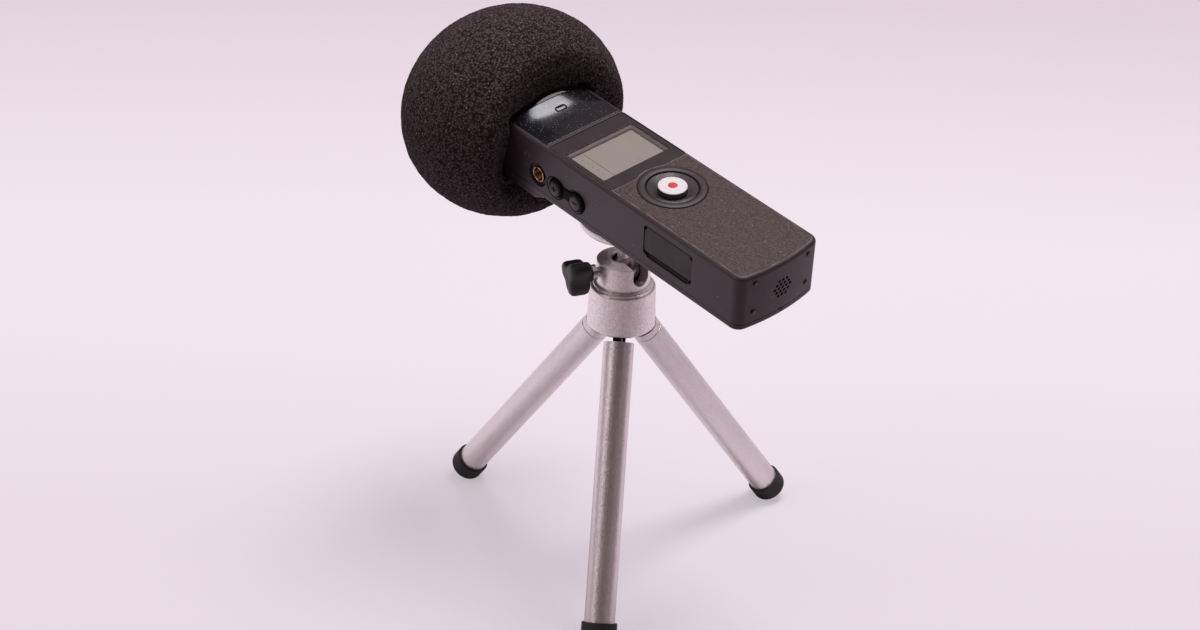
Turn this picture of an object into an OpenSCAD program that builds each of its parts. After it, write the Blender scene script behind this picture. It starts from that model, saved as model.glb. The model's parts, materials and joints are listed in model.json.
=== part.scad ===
// Pocket stereo recorder with a foam windscreen, standing on a small three-legged table stand.
// Recorder pieces are drawn in the recorder's own frame: X to its right, Y from the bottom end
// to the microphones, Z out of the front face, with Z = 0 on the back.

/* [Recorder case] */
// Width of the case
case_w = 36.5; // [34:0.1:40]
// Thickness of the case from back to front face
case_t = 21.5; // [20.5:0.1:24]
// Length of the case up to the microphone cage
case_len = 120; // [118:0.5:126]
// Rise of the bowed bottom end over the case width
end_bow = 2.1; // [1.2:0.1:3]
// Radius of the bottom corners seen from the front
corner_r = 4; // [2.5:0.1:6]
// Rounding of the front edge
edge_r = 1.4; // [0.8:0.1:2]
// Wall of the moulded case
wall = 1.8; // [1.4:0.1:2.2]
// Height of the seam between the rear tray and the front tub
seam_z = 2.5; // [2.2:0.1:3.5]
// Clearance between pieces that are fastened together
fit_gap = 0.05; // [0.02:0.01:0.1]
// Clearance around pieces that move
run_gap = 0.25; // [0.15:0.05:0.4]

/* [Microphone head] */
// Length of the microphone cage beyond the case
cage_len = 16; // [14:0.5:20]
// Wall of the cage
cage_wall = 1.5; // [1.2:0.1:2]
// Rise of the brow above the front face at the cage
brow_rise = 2.6; // [1.5:0.1:3.5]
// Length of the brow that climbs to the cage
brow_len = 21; // [16:0.5:24]
// Depth of the heel below the back at the cage
heel_drop = 3.3; // [2:0.1:4]
// Length of the heel, ramp included
heel_len = 21.5; // [18:0.5:22]
// Radius of a microphone capsule
capsule_r = 3.1; // [2.5:0.1:3.5]
// Length of a microphone capsule
capsule_len = 6; // [5:0.1:7]

/* [Display] */
// Gap between the display panel and the foot of the brow
panel_gap = 1.3; // [0.8:0.1:2]
// Length of the display panel
panel_len = 33; // [31:0.1:34]
// Distance of the display panel's edge from the case side
panel_margin = 1.15; // [1.1:0.05:2]
// Thickness of the display panel
panel_t = 1.1; // [0.9:0.05:1.3]
// Distance of the clear window's middle below the panel's middle
lens_drop = 0.4; // [0:0.1:1]
// Length of the clear window
lens_len = 19.7; // [17:0.1:21]
// Distance of the clear window's edge from the panel's edge
lens_margin = 1.85; // [1.5:0.05:3]

/* [Record button] */
// Distance that the record button's rim reaches past the display panel's lower edge
rec_lap = 0.5; // [0.2:0.1:0.8]
// Outer radius of the raised rim
rim_r = 11.9; // [11:0.1:12.2]
// Radius of the dish inside the rim
dish_r = 9.3; // [8.5:0.1:10]
// Radius of the record button
rec_r = 5.1; // [4.5:0.1:5.5]
// Height of the button above the front face
rec_proud = 0.9; // [0.6:0.05:1.3]
// Radius of the red dot
dot_r = 1.6; // [1.2:0.1:2]
// Travel of the record button
rec_travel = 0.5; // [0.3:0.05:0.6]

/* [Side controls] */
// Height of the side controls above the back
side_z = 8.3; // [7.8:0.1:9]
// Distance of the rocker keys' middle from the microphone end of the case
rocker_back = 33.8; // [33:0.1:34.5]
// Spacing of a rocker's two pads
rocker_pitch = 10.8; // [10:0.1:11.2]
// Radius of a rocker's round ends
rocker_r = 3.7; // [3.4:0.1:3.9]
// Width of a rocker's bridge
rocker_bridge = 4.2; // [3.4:0.1:5]
// Height of the keys above the case side
key_proud = 0.35; // [0.2:0.05:0.6]
// Distance of the jacks from the microphone end of the case
jack_back = 18.1; // [17:0.1:18.5]
// Bore radius of the jacks
jack_bore_r = 1.8; // [1.75:0.01:1.85]
// Outer radius of the jack's metal ring
jack_ring_r = 2.7; // [2.4:0.05:3]
// Depth of the jacks
jack_len = 12; // [11:0.5:13]
// Middle of the transport keys from the bottom end
keys_y = 48.5; // [48:0.5:50]
// Spacing of the transport keys
keys_pitch = 7.2; // [6.8:0.1:7.6]
// Length of a transport key
key_len = 5.2; // [4.5:0.1:5.8]
// Width of a transport key
key_w = 3.6; // [3:0.1:4.2]
// Middle of the power switch from the bottom end
power_y = 31.5; // [31:0.5:33]
// Travel of the power switch
power_travel = 3; // [2:0.1:3.5]
// Middle of the USB socket from the bottom end
usb_y = 19; // [18:0.5:20]

/* [Card and battery] */
// Distance of the card door's middle from the bottom end
card_y = 35.7; // [34.5:0.1:37]
// Length of the card door
card_len = 23.3; // [22:0.1:24]
// Bottom edge of the card door above the back
card_z0 = 6.3; // [5.8:0.1:7]
// Top edge of the card door above the back
card_z1 = 18.2; // [17.8:0.1:18.4]
// Thickness of the card door
card_t = 1.6; // [1.4:0.1:1.8]
// Radius of the battery
cell_r = 7.25; // [7:0.05:7.25]
// Length of the battery
cell_len = 50.5; // [49:0.5:50.5]
// Thickness of the battery door
door_t = 1.6; // [1.4:0.1:1.8]
// Width of the battery door
door_w = 19; // [17:0.5:20]

/* [Back] */
// Distance of the stand's thread from the bottom end
thread_y = 75.7; // [75:0.1:76.5]
// Radius of the quarter-inch camera screw
screw_r = 3.175; // [3.1:0.005:3.2]
// Length of the camera screw above the pad
screw_len = 4.6; // [4:0.1:5]
// Travel of the small slide switches
slider_travel = 2; // [1.5:0.1:2.4]

/* [Windscreen] */
// Radius of the foam ball
foam_r = 39.3; // [37:0.1:42]
// Distance of the foam ball's middle past the microphone end
foam_past = 1; // [0:0.5:4]
// Height of the foam ball's middle above the back
foam_z = 9.3; // [8:0.1:11]
// Distance of the foam's mouth from its middle
foam_cut = 24; // [22:0.5:26]
// Rounding of the foam's mouth edge
foam_lip = 7; // [5:0.5:9]

/* [Stand pose] */
// Slope of the recorder, microphones up
pitch = 6.7; // [0:0.1:12]
// Lean of the recorder to its left
roll = 6.7; // [0:0.1:9]
// Direction of the front leg
leg_az = -136.5; // [-180:0.5:180]
// Direction of the lock knob
knob_az = 160; // [150:1:200]

/* [Ball head] */
// Radius of the ball
ball_r = 6; // [5.5:0.1:6.3]
// Height of the ball above the leg hinges
ball_rise = 21.7; // [21:0.1:23]
// Distance from the ball to the recorder's back
stem_rise = 26.2; // [25:0.1:28]
// Radius of the stem
stem_r = 2.3; // [2:0.1:2.6]
// Radius of the platform
plate_r = 14.2; // [13:0.1:14.4]
// Thickness of the platform
plate_t = 4.2; // [3.5:0.1:5]
// Thickness of the rubber pad
pad_t = 1.6; // [1.2:0.1:2]
// Radius of the collar at its foot
collar_r = 12.4; // [12.2:0.1:13]
// Radius of the collar at its shoulder
shoulder_r = 11.9; // [11.5:0.1:12.2]
// Height of the collar
collar_h = 16.3; // [15:0.1:17]
// Radius of the neck
neck_r = 9.7; // [9.3:0.1:10.2]
// Height of the neck above the collar
neck_h = 10.6; // [10.2:0.1:11.5]
// Width of the slot that the stem drops into
slot_w = 7.2; // [6.8:0.1:7.6]
// Radius of the lock screw
lock_r = 1.6; // [1.4:0.1:2]
// Radius of the knob over its lobes
knob_r = 7.4; // [6.5:0.1:8]
// Length of the knob
knob_len = 9; // [8:0.1:10]

/* [Legs] */
// Angle of a leg from upright
leg_spread = 34.7; // [30:0.1:38]
// Distance of the leg hinges from the stand's axis
hinge_r = 6.5; // [6.4:0.1:7]
// Diameter of a leg tube
tube_d = 11; // [10:0.1:11.2]
// Wall of a leg tube
tube_wall = 0.8; // [0.6:0.1:1.2]
// Distance from the hinge to the top of the tube
tube_drop = 4.9; // [4.8:0.1:5.4]
// Length of tube that shows
tube_len = 99.8; // [85:0.5:110]
// Radius of a rubber foot
foot_r = 6.4; // [6.1:0.1:7]
// Length of a rubber foot below the tube that shows
foot_len = 7.2; // [6:0.1:9]
// Rounding of a foot's end
foot_round = 2.4; // [1.5:0.1:3]
// Depth of the worn flat on a foot
foot_flat = 0.4; // [0.2:0.1:0.6]
// Radius of a leg's hinge pin
pin_r = 0.8; // [0.7:0.05:0.9]
// Thickness of a leg's hinge tongue
tongue_t = 1.8; // [1.5:0.1:2.2]

/* [Hidden] */
$fn = 64;
eps = 0.01;
// Place of the stand's axis, which puts the origin under the middle of the whole object
stand_x = -7.89;
stand_y = -7.757;

half_w = case_w / 2;
end_r = (half_w * half_w + end_bow * end_bow) / (2 * end_bow);
front_in = case_t - wall;
head_top = case_t + brow_rise;
brow_curve = 1.8;
brow_steps = 6;
head_len = case_len + cage_len;
board_top = front_in - 0.75;
board_t = 1;
board_bottom = board_top - board_t;
panel_w = case_w - 2 * panel_margin;
panel_y = case_len - brow_len - panel_gap - panel_len / 2;
lens_w = panel_w - 2 * lens_margin;
lens_y = panel_y - lens_drop;
rec_y = panel_y - panel_len / 2 + rec_lap - rim_r;
rocker_y = case_len - rocker_back;
jack_y = case_len - jack_back;
foam_y = head_len + foam_past;
head_mid = (head_top - heel_drop) / 2;
capsule_y = case_len + 6;
capsule_dz = 3.9;
mount_w = 24;
mount_h = 18;
mount_t = 1.6;
bridge_w = 5.2;
bridge_len = 8.5;
cage_slot = 1.7;
cage_slot_w = 26;
cell_z = door_t + 0.1 + cell_r;
cell_y = wall + 5.1;
contact_w = 10;
contact_h = 13;
contact_t = 0.5;
contact_gap = 0.2;
door_y0 = cell_y - 0.6;
door_y1 = cell_y + cell_len + 2;
door_pin_r = 0.5;
pin_gap = 0.05;
card_hinge_x = -half_w + 0.2 + card_t / 2;
card_hinge_z = card_z1 - card_t / 2 - 0.15;
card_w = 11;
card_slot = 1.3;
slot_in = 15.4;
jack_w = 6.8;
ring_recess = 0.3;
recess_r = 4.6;
recess_depth = 1.3;
ring_len = jack_len - 1.4;
seam_turn = 7;
usb_w = 7.7;
usb_h = 3.9;
thumb_len = 5;
thumb_w = 2.6;
stud_x = 12.1;
stud_r = 0.95;
stud_seat = 0.4;
stud_zs = [6.5, 18.2];
speaker_z = side_z + 3;
rim_h = 0.5;
crown_h = 0.3;
dish_floor = case_t - 1.5;
bezel_bottom = board_top + 0.15;
panel_z = case_t - panel_t - 0.05;
ledge_z = panel_z - fit_gap;
lcd_t = 0.7;
rocker_in = 3.4;
pad_proud = 0.7;
pad_slope = 0.5;
trunnion_r = 0.6;
lug_dz = 3.35;
pivot_x = half_w - wall - 0.9;
boss_r = 2.4;
boss_x = half_w - wall - boss_r - 0.1;
boss_ys = [9.5, case_len - 8];
boss_hole = 8;
post_ys = [24, lens_y - lens_len / 2 - 4];
screw_hole_r = 0.95;
screw_head_r = 1.75;
screw_head_top = 1;
led_len = 3.7;
led_w = 2.1;
led_y = case_len - 7.2;
led_x = 0.8;
slider_back = 4.2;
slider_y = heel_ramp_y() - slider_back;
slider_xs = [-8.5, 0, 8.5];
leg_azs = [leg_az, leg_az + 120, leg_az - 120];
leg_reach = tube_drop + tube_len + foot_len;
hinge_z = (leg_reach - foot_round) * cos(leg_spread)
        + (foot_r - foot_round) * sin(leg_spread) + foot_round - foot_flat;
collar_z = hinge_z - 0.6;
neck_z = collar_z + collar_h;
neck_top = neck_z + neck_h;
ball_z = hinge_z + ball_rise;
socket_r = ball_r + 0.07;
centre_r = 1;
centre_depth = 0.6;
knob_gap = 3;
lock_end = knob_gap + knob_len - 2;
lip_rise = neck_top - ball_z - 0.7;
mouth_r = sqrt(socket_r * socket_r - lip_rise * lip_rise);
base_z = hinge_z + 2.7;
base_t = 3.4;
ear_gap = 0.12;
ear_t = 1.25;
plug_sink = 0.2;
plug_top = tube_drop + plug_sink;
plug_len = 10;
ear_r = 2;
ear_drop = tube_drop - 0.7;
ring_drop = 3;
tube_in_r = tube_d / 2 - tube_wall;
sleeve = 4;

black = [0.16, 0.15, 0.16];
gloss = [0.06, 0.06, 0.07];
silver = [0.78, 0.74, 0.74];
steel = [0.62, 0.62, 0.64];
gold = [0.83, 0.66, 0.3];
rubber = [0.09, 0.09, 0.09];

// Where the heel's ramp starts
function heel_ramp_y() = case_len - heel_len;

// Height of the brow's surface over the middle of the case
function brow_z(y) = case_t + brow_rise * pow(max(0, y - case_len + brow_len) / brow_len, brow_curve);

// Frames

module on_ball() {
    translate([stand_x, stand_y, ball_z]) rotate([pitch, 0, 0]) rotate([0, -roll, 0]) children();
}

module on_recorder() {
    on_ball() translate([0, -thread_y, stem_rise]) children();
}

module on_stand() {
    translate([stand_x, stand_y, 0]) children();
}

// A leg's frame: its hinge at the origin, the leg running down Z, X pointing away from the stand
module on_leg(az) {
    on_stand() rotate([0, 0, az]) translate([hinge_r, 0, hinge_z]) rotate([0, -leg_spread, 0]) children();
}

// Lays a flat outline drawn in Y and Z against the left side, growing to the right from x
module from_left(x, depth) {
    translate([x, 0, 0]) rotate([90, 0, 90]) linear_extrude(depth) children();
}

// A left-side piece and its twin on the right
module both_sides() {
    children();
    mirror([1, 0, 0]) children();
}

// Shared shapes

module rounded_rect(w, h, r) {
    square([w - 2 * r, h], center = true);
    square([w, h - 2 * r], center = true);
    for (x = [-1, 1], y = [-1, 1]) translate([x * (w / 2 - r), y * (h / 2 - r)]) circle(r);
}

// Two round ends joined by a bar
module stadium(len, w) {
    square([len - w, w], center = true);
    for (x = [-1, 1]) translate([x * (len - w) / 2, 0]) circle(w / 2);
}

// The case seen from the front, drawn in by inset: straight sides, round corners, bowed bottom end
module case_outline(inset, len) {
    r = corner_r - inset;
    big = end_r - inset;
    cx = half_w - corner_r;
    cy = end_r - sqrt(pow(end_r - corner_r, 2) - cx * cx);
    tx = cx * big / (end_r - corner_r);
    intersection() {
        translate([0, end_r]) circle(big, $fn = 200);
        translate([-tx, 0]) square([2 * tx, 3 * corner_r]);
    }
    translate([-half_w + inset, cy]) square([case_w - 2 * inset, len - cy]);
    for (s = [-1, 1]) translate([s * cx, cy]) circle(max(r, 0.2), $fn = 32);
}

// A slab of the case outline from z0 to z1
module case_slab(z0, z1, inset) {
    translate([0, 0, z0]) linear_extrude(z1 - z0) case_outline(inset, case_len);
}

// The dog-bone outline of a rocker key, drawn in Y and Z
module rocker_outline(grow) {
    translate([rocker_y, side_z]) {
        for (s = [-1, 1]) translate([s * rocker_pitch / 2, 0]) circle(rocker_r + grow);
        square([rocker_pitch, rocker_bridge + 2 * grow], center = true);
    }
}

// The cross-section of the microphone head, drawn in X and Z
module head_section(inset) {
    translate([0, (head_top - heel_drop) / 2])
        rounded_rect(case_w - 2 * inset, head_top + heel_drop - 2 * inset, 6.5 - min(inset, 3));
}

// A slab of the head's cross-section from y0 to y1
module head_slab(y0, y1, inset) {
    translate([0, y1, 0]) rotate([90, 0, 0]) linear_extrude(y1 - y0) head_section(inset);
}

// Recorder case

// A thin cross-section of the brow: an arch over the front face, t of the way to the cage
module brow_slice(t) {
    half = half_w - edge_r;
    y = case_len - brow_len * (1 - t);
    base = case_t - 0.02;
    rise = brow_z(y) - case_t;
    arch = [for (u = [-1:0.1:1.01]) [half * u, base + rise * (1 - u * u)]];
    translate([0, y, 0]) rotate([90, 0, 0]) linear_extrude(eps)
        polygon(concat([[half, case_t - wall], [-half, case_t - wall]], arch));
}

// The brow: a hollow ramp that climbs from the front face to an arched rim at the cage
module brow() {
    for (k = [0:brow_steps - 1]) hull() {
        brow_slice(k / brow_steps);
        brow_slice((k + 1) / brow_steps);
    }
}

module front_shell() {
    hull() {
        case_slab(seam_z, case_t - edge_r, 0);
        for (a = [15:15:90])
            case_slab(case_t - 2 * edge_r, case_t - edge_r + edge_r * sin(a), edge_r * (1 - cos(a)));
    }
}

// Nineteen sound holes in five rows
module speaker_holes() {
    hole_pitch = 1.75;
    for (row = [-2:2], i = [0:4 - abs(row)])
        translate([(i - (4 - abs(row)) / 2) * hole_pitch, -1, speaker_z + row * hole_pitch * sin(60)])
            rotate([-90, 0, 0]) cylinder(r = 0.6, h = wall + end_bow + 2);
}

module front_openings() {
    // Seat and opening of the display panel
    translate([0, panel_y, ledge_z]) linear_extrude(3) panel_outline(fit_gap);
    translate([0, lens_y, front_in - 1]) linear_extrude(4) rounded_rect(lens_w + 0.6, lens_len + 0.6, 0.8);
    // Record bezel
    translate([0, rec_y, front_in - 1]) cylinder(r = rim_r - 0.9, h = wall + 2);
    // Peak lamp
    translate([led_x, led_y, front_in - 1]) linear_extrude(brow_rise + wall + 2) stadium(led_len, led_w);
    // Rocker keys, and jacks in conical recesses
    both_sides() {
        from_left(-half_w - 1, wall + 2) rocker_outline(run_gap);
        translate([-half_w, jack_y, side_z]) rotate([0, 90, 0]) {
            translate([0, 0, -eps]) cylinder(r1 = recess_r, r2 = recess_r - 0.2, h = recess_depth);
            translate([0, 0, -1]) cylinder(r = jack_ring_r + fit_gap, h = wall + 2);
        }
    }
    // Seats of the end studs
    for (x = [-stud_x, stud_x], z = stud_zs) translate([x, stud_y() + stud_seat, z])
        rotate([90, 0, 0]) cylinder(r = stud_r + fit_gap, h = 2);
    // Right side: transport keys, power switch and USB socket
    for (i = [-1:2]) from_left(half_w - wall - 1, wall + 2)
        translate([keys_y + i * keys_pitch, side_z]) stadium(key_len + 2 * run_gap, key_w + 2 * run_gap);
    from_left(half_w - wall - 1, wall + 2)
        translate([power_y, side_z]) stadium(thumb_len + power_travel + 2 * run_gap, thumb_w + 2 * run_gap);
    from_left(half_w - wall - 1, wall + 2)
        translate([usb_y, side_z]) square([usb_w + 2 * fit_gap, usb_h + 2 * fit_gap], center = true);
    // Card door opening, its hinge holes and a finger notch under its lower edge
    from_left(-half_w - 1, wall + 2) translate([card_y, (card_z0 + card_z1) / 2])
        rounded_rect(card_len, card_z1 - card_z0, 1.2);
    translate([card_hinge_x, card_y, card_hinge_z]) rotate([90, 0, 0])
        cylinder(r = door_pin_r + pin_gap, h = card_len + 2.4, center = true);
    from_left(-half_w - 1, 1.9) translate([card_y, card_z0]) stadium(card_len - 3, 1.6);
    speaker_holes();
}

// Where the bowed bottom end lies behind the studs
function stud_y() = end_r - sqrt(end_r * end_r - stud_x * stud_x);

module panel_outline(grow) {
    difference() {
        rounded_rect(panel_w + 2 * grow, panel_len + 2 * grow, 1.2);
        translate([0, rec_y - panel_y]) circle(rim_r + 1 - grow);
    }
}

// Lugs inside a side wall that hold a rocker's trunnions
module rocker_lugs() {
    lug = [2.9, 2.8, 1.5];
    difference() {
        for (s = [-1, 1]) translate([-pivot_x - 0.05, rocker_y, side_z + s * lug_dz]) cube(lug, center = true);
        translate([-pivot_x, rocker_y, side_z]) cylinder(r = trunnion_r + pin_gap, h = 10, center = true);
    }
}

module front_case() {
    color(black) on_recorder() {
        difference() {
            union() {
                front_shell();
                brow();
            }
            translate([0, 0, seam_z - 1]) linear_extrude(front_in - seam_z + 1)
                case_outline(wall, case_len - wall);
            front_openings();
        }
        // Screw bosses
        for (x = [-boss_x, boss_x], y = boss_ys) translate([x, y, seam_z]) difference() {
            cylinder(r = boss_r, h = front_in - seam_z + 0.2);
            translate([0, 0, -1]) cylinder(r = screw_hole_r, h = boss_hole + 1);
        }
        // Posts over the board
        for (x = [-1, 1], y = post_ys) translate([x * (half_w - wall - 2), y, board_top])
            cylinder(r = 1.2, h = front_in - board_top + 0.2);
        both_sides() rocker_lugs();
    }
}

// The heel: a ramp on the back that carries the thicker microphone head
module heel() {
    ramp = 6;
    hull() {
        translate([-half_w + 0.3, heel_ramp_y(), 0]) cube([case_w - 0.6, eps, 0.6]);
        translate([-half_w + 0.3, heel_ramp_y() + ramp, 0.9 - heel_drop])
            cube([case_w - 0.6, heel_len - ramp, heel_drop - 0.3]);
        translate([-half_w + 1.2, heel_ramp_y() + ramp, -heel_drop]) cube([case_w - 2.4, heel_len - ramp, 1]);
    }
}

module rear_shell() {
    hull() {
        case_slab(0, 1, 0.8);
        case_slab(0.25, 1, 0.3);
        case_slab(0.8, seam_z - 0.3, 0);
        case_slab(1, seam_z, 0.3);
    }
}

module rear_case() {
    color(black) on_recorder() difference() {
        union() {
            rear_shell();
            heel();
        }
        translate([0, 0, wall - 0.2]) linear_extrude(seam_z) case_outline(wall, case_len - wall);
        // Battery door opening and its hinge holes
        translate([-door_w / 2 - 0.15, door_y0 - door_t / 2 - 0.15, -1])
            cube([door_w + 0.3, door_y1 - door_y0 + door_t / 2 + 0.3, seam_z + 2]);
        translate([0, door_y0, door_t / 2]) rotate([0, 90, 0])
            cylinder(r = door_pin_r + pin_gap, h = door_w + 2.6, center = true);
        // Tripod bush
        translate([0, thread_y, -1]) cylinder(r = screw_r + 2 + fit_gap, h = seam_z + 2);
        // Case screws
        for (x = [-boss_x, boss_x], y = boss_ys) translate([x, y, 0]) {
            translate([0, 0, -heel_drop - 1])
                cylinder(r = screw_head_r + 0.15, h = heel_drop + 1 + screw_head_top + fit_gap);
            translate([0, 0, -1]) cylinder(r = screw_hole_r, h = seam_z + 2);
        }
        // Slots of the small switches, in shallow troughs
        for (x = slider_xs) translate([x, slider_y, 0]) {
            translate([0, 0, -1]) linear_extrude(1.5) stadium(7, 4);
            translate([0, 0, -1]) linear_extrude(seam_z + 2) square([2 + slider_travel + 0.5, 2.5], center = true);
        }
        // Split mark in the middle of the bottom seam
        translate([-1, -1, seam_z - 0.6]) cube([2, 1.6, 1]);
    }
}

module window_panel() {
    color(gloss) on_recorder() translate([0, panel_y, panel_z]) difference() {
        linear_extrude(panel_t) panel_outline(0);
        translate([0, lens_y - panel_y, -1]) linear_extrude(panel_t + 2) rounded_rect(lens_w, lens_len, 0.6);
    }
}

module lcd_lens() {
    color([0.75, 0.78, 0.72, 0.35]) on_recorder() translate([0, lens_y, panel_z])
        linear_extrude(panel_t - 0.03) rounded_rect(lens_w - 2 * fit_gap, lens_len - 2 * fit_gap, 0.55);
}

module lcd_module() {
    color([0.55, 0.56, 0.47]) on_recorder() translate([0, lens_y, board_top])
        linear_extrude(lcd_t) rounded_rect(lens_w + 0.2, lens_len + 0.2, 0.5);
}

module main_board() {
    board_w = case_w - 2 * wall - 0.8;
    y0 = boss_ys[0] + boss_r + 0.4;
    y1 = boss_ys[1] - boss_r - 0.4;
    color([0.1, 0.32, 0.18]) on_recorder() translate([-board_w / 2, y0, board_bottom])
        cube([board_w, y1 - y0, board_t]);
}

module rec_bezel() {
    r_body = rim_r - 0.9 - fit_gap;
    color(gloss) on_recorder() translate([0, rec_y, 0]) rotate_extrude($fn = 96) difference() {
        union() {
            translate([rec_r + run_gap, bezel_bottom]) square([r_body - rec_r - run_gap, case_t - bezel_bottom + 0.1]);
            // Raised rim with a rounded crown
            translate([dish_r, case_t]) square([rim_r - dish_r, rim_h - crown_h]);
            translate([(rim_r + dish_r) / 2, case_t + rim_h - crown_h]) intersection() {
                translate([0, crown_h - crown_r()]) circle(crown_r());
                translate([-(rim_r - dish_r) / 2, 0]) square([rim_r - dish_r, 1]);
            }
        }
        // The dish slopes down to the button
        polygon([[rec_r - 1, dish_floor], [rec_r + 0.6, dish_floor], [dish_r, case_t + 0.05],
            [dish_r, case_t + 3], [rec_r - 1, case_t + 3]]);
    }
}

// Radius of the rim's crown over the rim's breadth
function crown_r() = (pow((rim_r - dish_r) / 2, 2) + crown_h * crown_h) / (2 * crown_h);

module rec_button() {
    top = case_t + rec_proud;
    color([0.9, 0.88, 0.86]) on_recorder() translate([0, rec_y, 0]) difference() {
        rotate_extrude($fn = 96) union() {
            translate([0, board_top + rec_travel + 0.15]) square([rec_r, top - 0.4 - board_top - rec_travel - 0.15]);
            translate([0, top - 0.5]) square([rec_r - 0.4, 0.5]);
            translate([rec_r - 0.4, top - 0.4]) circle(0.4, $fn = 24);
        }
        translate([0, 0, top - 0.4]) cylinder(r = dot_r + fit_gap, h = 1);
    }
}

module rec_dot() {
    top = case_t + rec_proud;
    color([0.85, 0.1, 0.08]) on_recorder() translate([0, rec_y, top - 0.4]) cylinder(r = dot_r, h = 0.42);
}

module peak_lamp() {
    color([0.35, 0.1, 0.1]) on_recorder() translate([led_x, led_y, front_in - 0.3])
        linear_extrude(brow_z(led_y) - front_in + 0.25) stadium(led_len - 2 * fit_gap, led_w - 2 * fit_gap);
}

// Side controls

// A rocker key for the left side, with two raised pads and trunnions at its middle
module rocker() {
    from_left(-half_w - key_proud, rocker_in + key_proud) rocker_outline(0);
    for (s = [-1, 1]) translate([-half_w - key_proud, rocker_y + s * rocker_pitch / 2, side_z]) rotate([0, -90, 0])
        cylinder(r1 = rocker_r, r2 = rocker_r - pad_slope, h = pad_proud);
    translate([-pivot_x, rocker_y, side_z]) cylinder(r = trunnion_r, h = 2 * lug_dz + 1.1, center = true);
}

module volume_rocker() {
    color(black) on_recorder() rocker();
}

module level_rocker() {
    color(black) on_recorder() mirror([1, 0, 0]) rocker();
}

// A jack for the left side: a moulded block behind the wall
module jack_body() {
    difference() {
        translate([-half_w + wall + fit_gap, jack_y - jack_w / 2, side_z - jack_w / 2])
            cube([jack_len - wall, jack_w, jack_w]);
        translate([-half_w, jack_y, side_z]) rotate([0, 90, 0])
            cylinder(r = jack_ring_r + fit_gap, h = ring_recess + ring_len + fit_gap);
    }
}

// The jack's metal sleeve, which is its socket; the block closes its inner end
module jack_ring() {
    translate([-half_w + ring_recess, jack_y, side_z]) rotate([0, 90, 0]) rotate(seam_turn) difference() {
        cylinder(r = jack_ring_r, h = ring_len);
        translate([0, 0, -1]) cylinder(r = jack_bore_r, h = ring_len + 2);
    }
}

module phones_jack() {
    color(rubber) on_recorder() jack_body();
}

module phones_ring() {
    color(gold) on_recorder() jack_ring();
}

module line_jack() {
    color(rubber) on_recorder() mirror([1, 0, 0]) jack_body();
}

module line_ring() {
    color(gold) on_recorder() mirror([1, 0, 0]) jack_ring();
}

module usb_socket() {
    depth = 6.8;
    sheet = 0.4;
    back = half_w - depth - 0.2;
    color(steel) on_recorder() {
        from_left(back, depth) translate([usb_y, side_z]) difference() {
            square([usb_w, usb_h], center = true);
            square([usb_w - 2 * sheet, usb_h - 2 * sheet], center = true);
        }
        from_left(back, 1.5 * sheet) translate([usb_y, side_z]) square([usb_w, usb_h], center = true);
    }
    // Contact tongue
    color(rubber) on_recorder() from_left(back, depth - 1.2)
        translate([usb_y, side_z + 0.8]) square([usb_w - 2.3, 0.7], center = true);
}

// Thumb piece of the power switch, ridged, with a retaining flange inside the wall
module power_switch() {
    y = power_y - power_travel / 2;
    color(black) on_recorder() {
        from_left(half_w - wall - 0.2, wall + 0.2 + key_proud) translate([y, side_z]) difference() {
            stadium(thumb_len, thumb_w);
            for (i = [-1:1], s = [-1, 1]) translate([i * 1.1, s * thumb_w / 2]) circle(0.2, $fn = 16);
        }
        from_left(half_w - wall - 1.1, 1.1 - run_gap / 2)
            translate([y, side_z]) square([thumb_len + 1, thumb_w + 1.8], center = true);
    }
}

// A transport key by its place in the row, with a retaining flange inside the wall
module transport_key(i) {
    y = keys_y + i * keys_pitch;
    color(black) on_recorder() {
        from_left(half_w - wall - 0.2, wall + 0.2 + key_proud) translate([y, side_z]) stadium(key_len, key_w);
        from_left(half_w - wall - 1.2, 1.2 - run_gap / 2) translate([y, side_z]) stadium(key_len + 1.2, key_w + 1.2);
    }
}

module play_key() {
    transport_key(0);
}

module rewind_key() {
    transport_key(-1);
}

module forward_key() {
    transport_key(1);
}

module delete_key() {
    transport_key(2);
}

// Card and battery

// Flap with a rolled hinge edge, two pins and clipped corners
module card_door() {
    len = card_len - 0.4;
    low = card_z0 + card_slot;
    color(black) on_recorder() {
        from_left(card_hinge_x - card_t / 2, card_t) difference() {
            translate([card_y - len / 2, low]) square([len, card_hinge_z - low]);
            for (s = [-1, 1]) translate([card_y + s * len / 2, 0]) {
                translate([0, low]) rotate(45) square(1.2, center = true);
                translate([0, card_hinge_z]) rotate(45) square(2, center = true);
            }
        }
        translate([card_hinge_x, card_y, card_hinge_z]) rotate([90, 0, 0]) {
            cylinder(r = card_t / 2, h = len - 2, center = true);
            cylinder(r = door_pin_r, h = card_len + 2, center = true);
        }
    }
}

module card_socket() {
    color(steel) on_recorder() difference() {
        translate([-half_w + wall + 0.6, card_y - card_w / 2 - 1.5, board_bottom - 1.7])
            cube([slot_in + 0.1, card_w + 3, 1.7]);
        translate([-half_w + wall, card_y - card_w / 2 - 0.1, board_bottom - 1.45]) cube([slot_in, card_w + 0.2, 1.1]);
    }
}

module memory_card() {
    len = slot_in - 0.4;
    color(rubber) on_recorder() translate([-half_w + wall + 0.3, card_y - card_w / 2, board_bottom - 1.4]) difference() {
        cube([len, card_w, 1]);
        translate([len * 2 / 3, -1, -1]) cube([len, 2.4, 3]);
    }
}

module battery_door() {
    color(black) on_recorder() {
        translate([-door_w / 2, door_y0, 0]) cube([door_w, door_y1 - door_y0, door_t]);
        translate([0, door_y0, door_t / 2]) rotate([0, 90, 0]) {
            cylinder(r = door_t / 2, h = door_w, center = true);
            cylinder(r = door_pin_r, h = door_w + 2.4, center = true);
        }
    }
}

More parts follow.
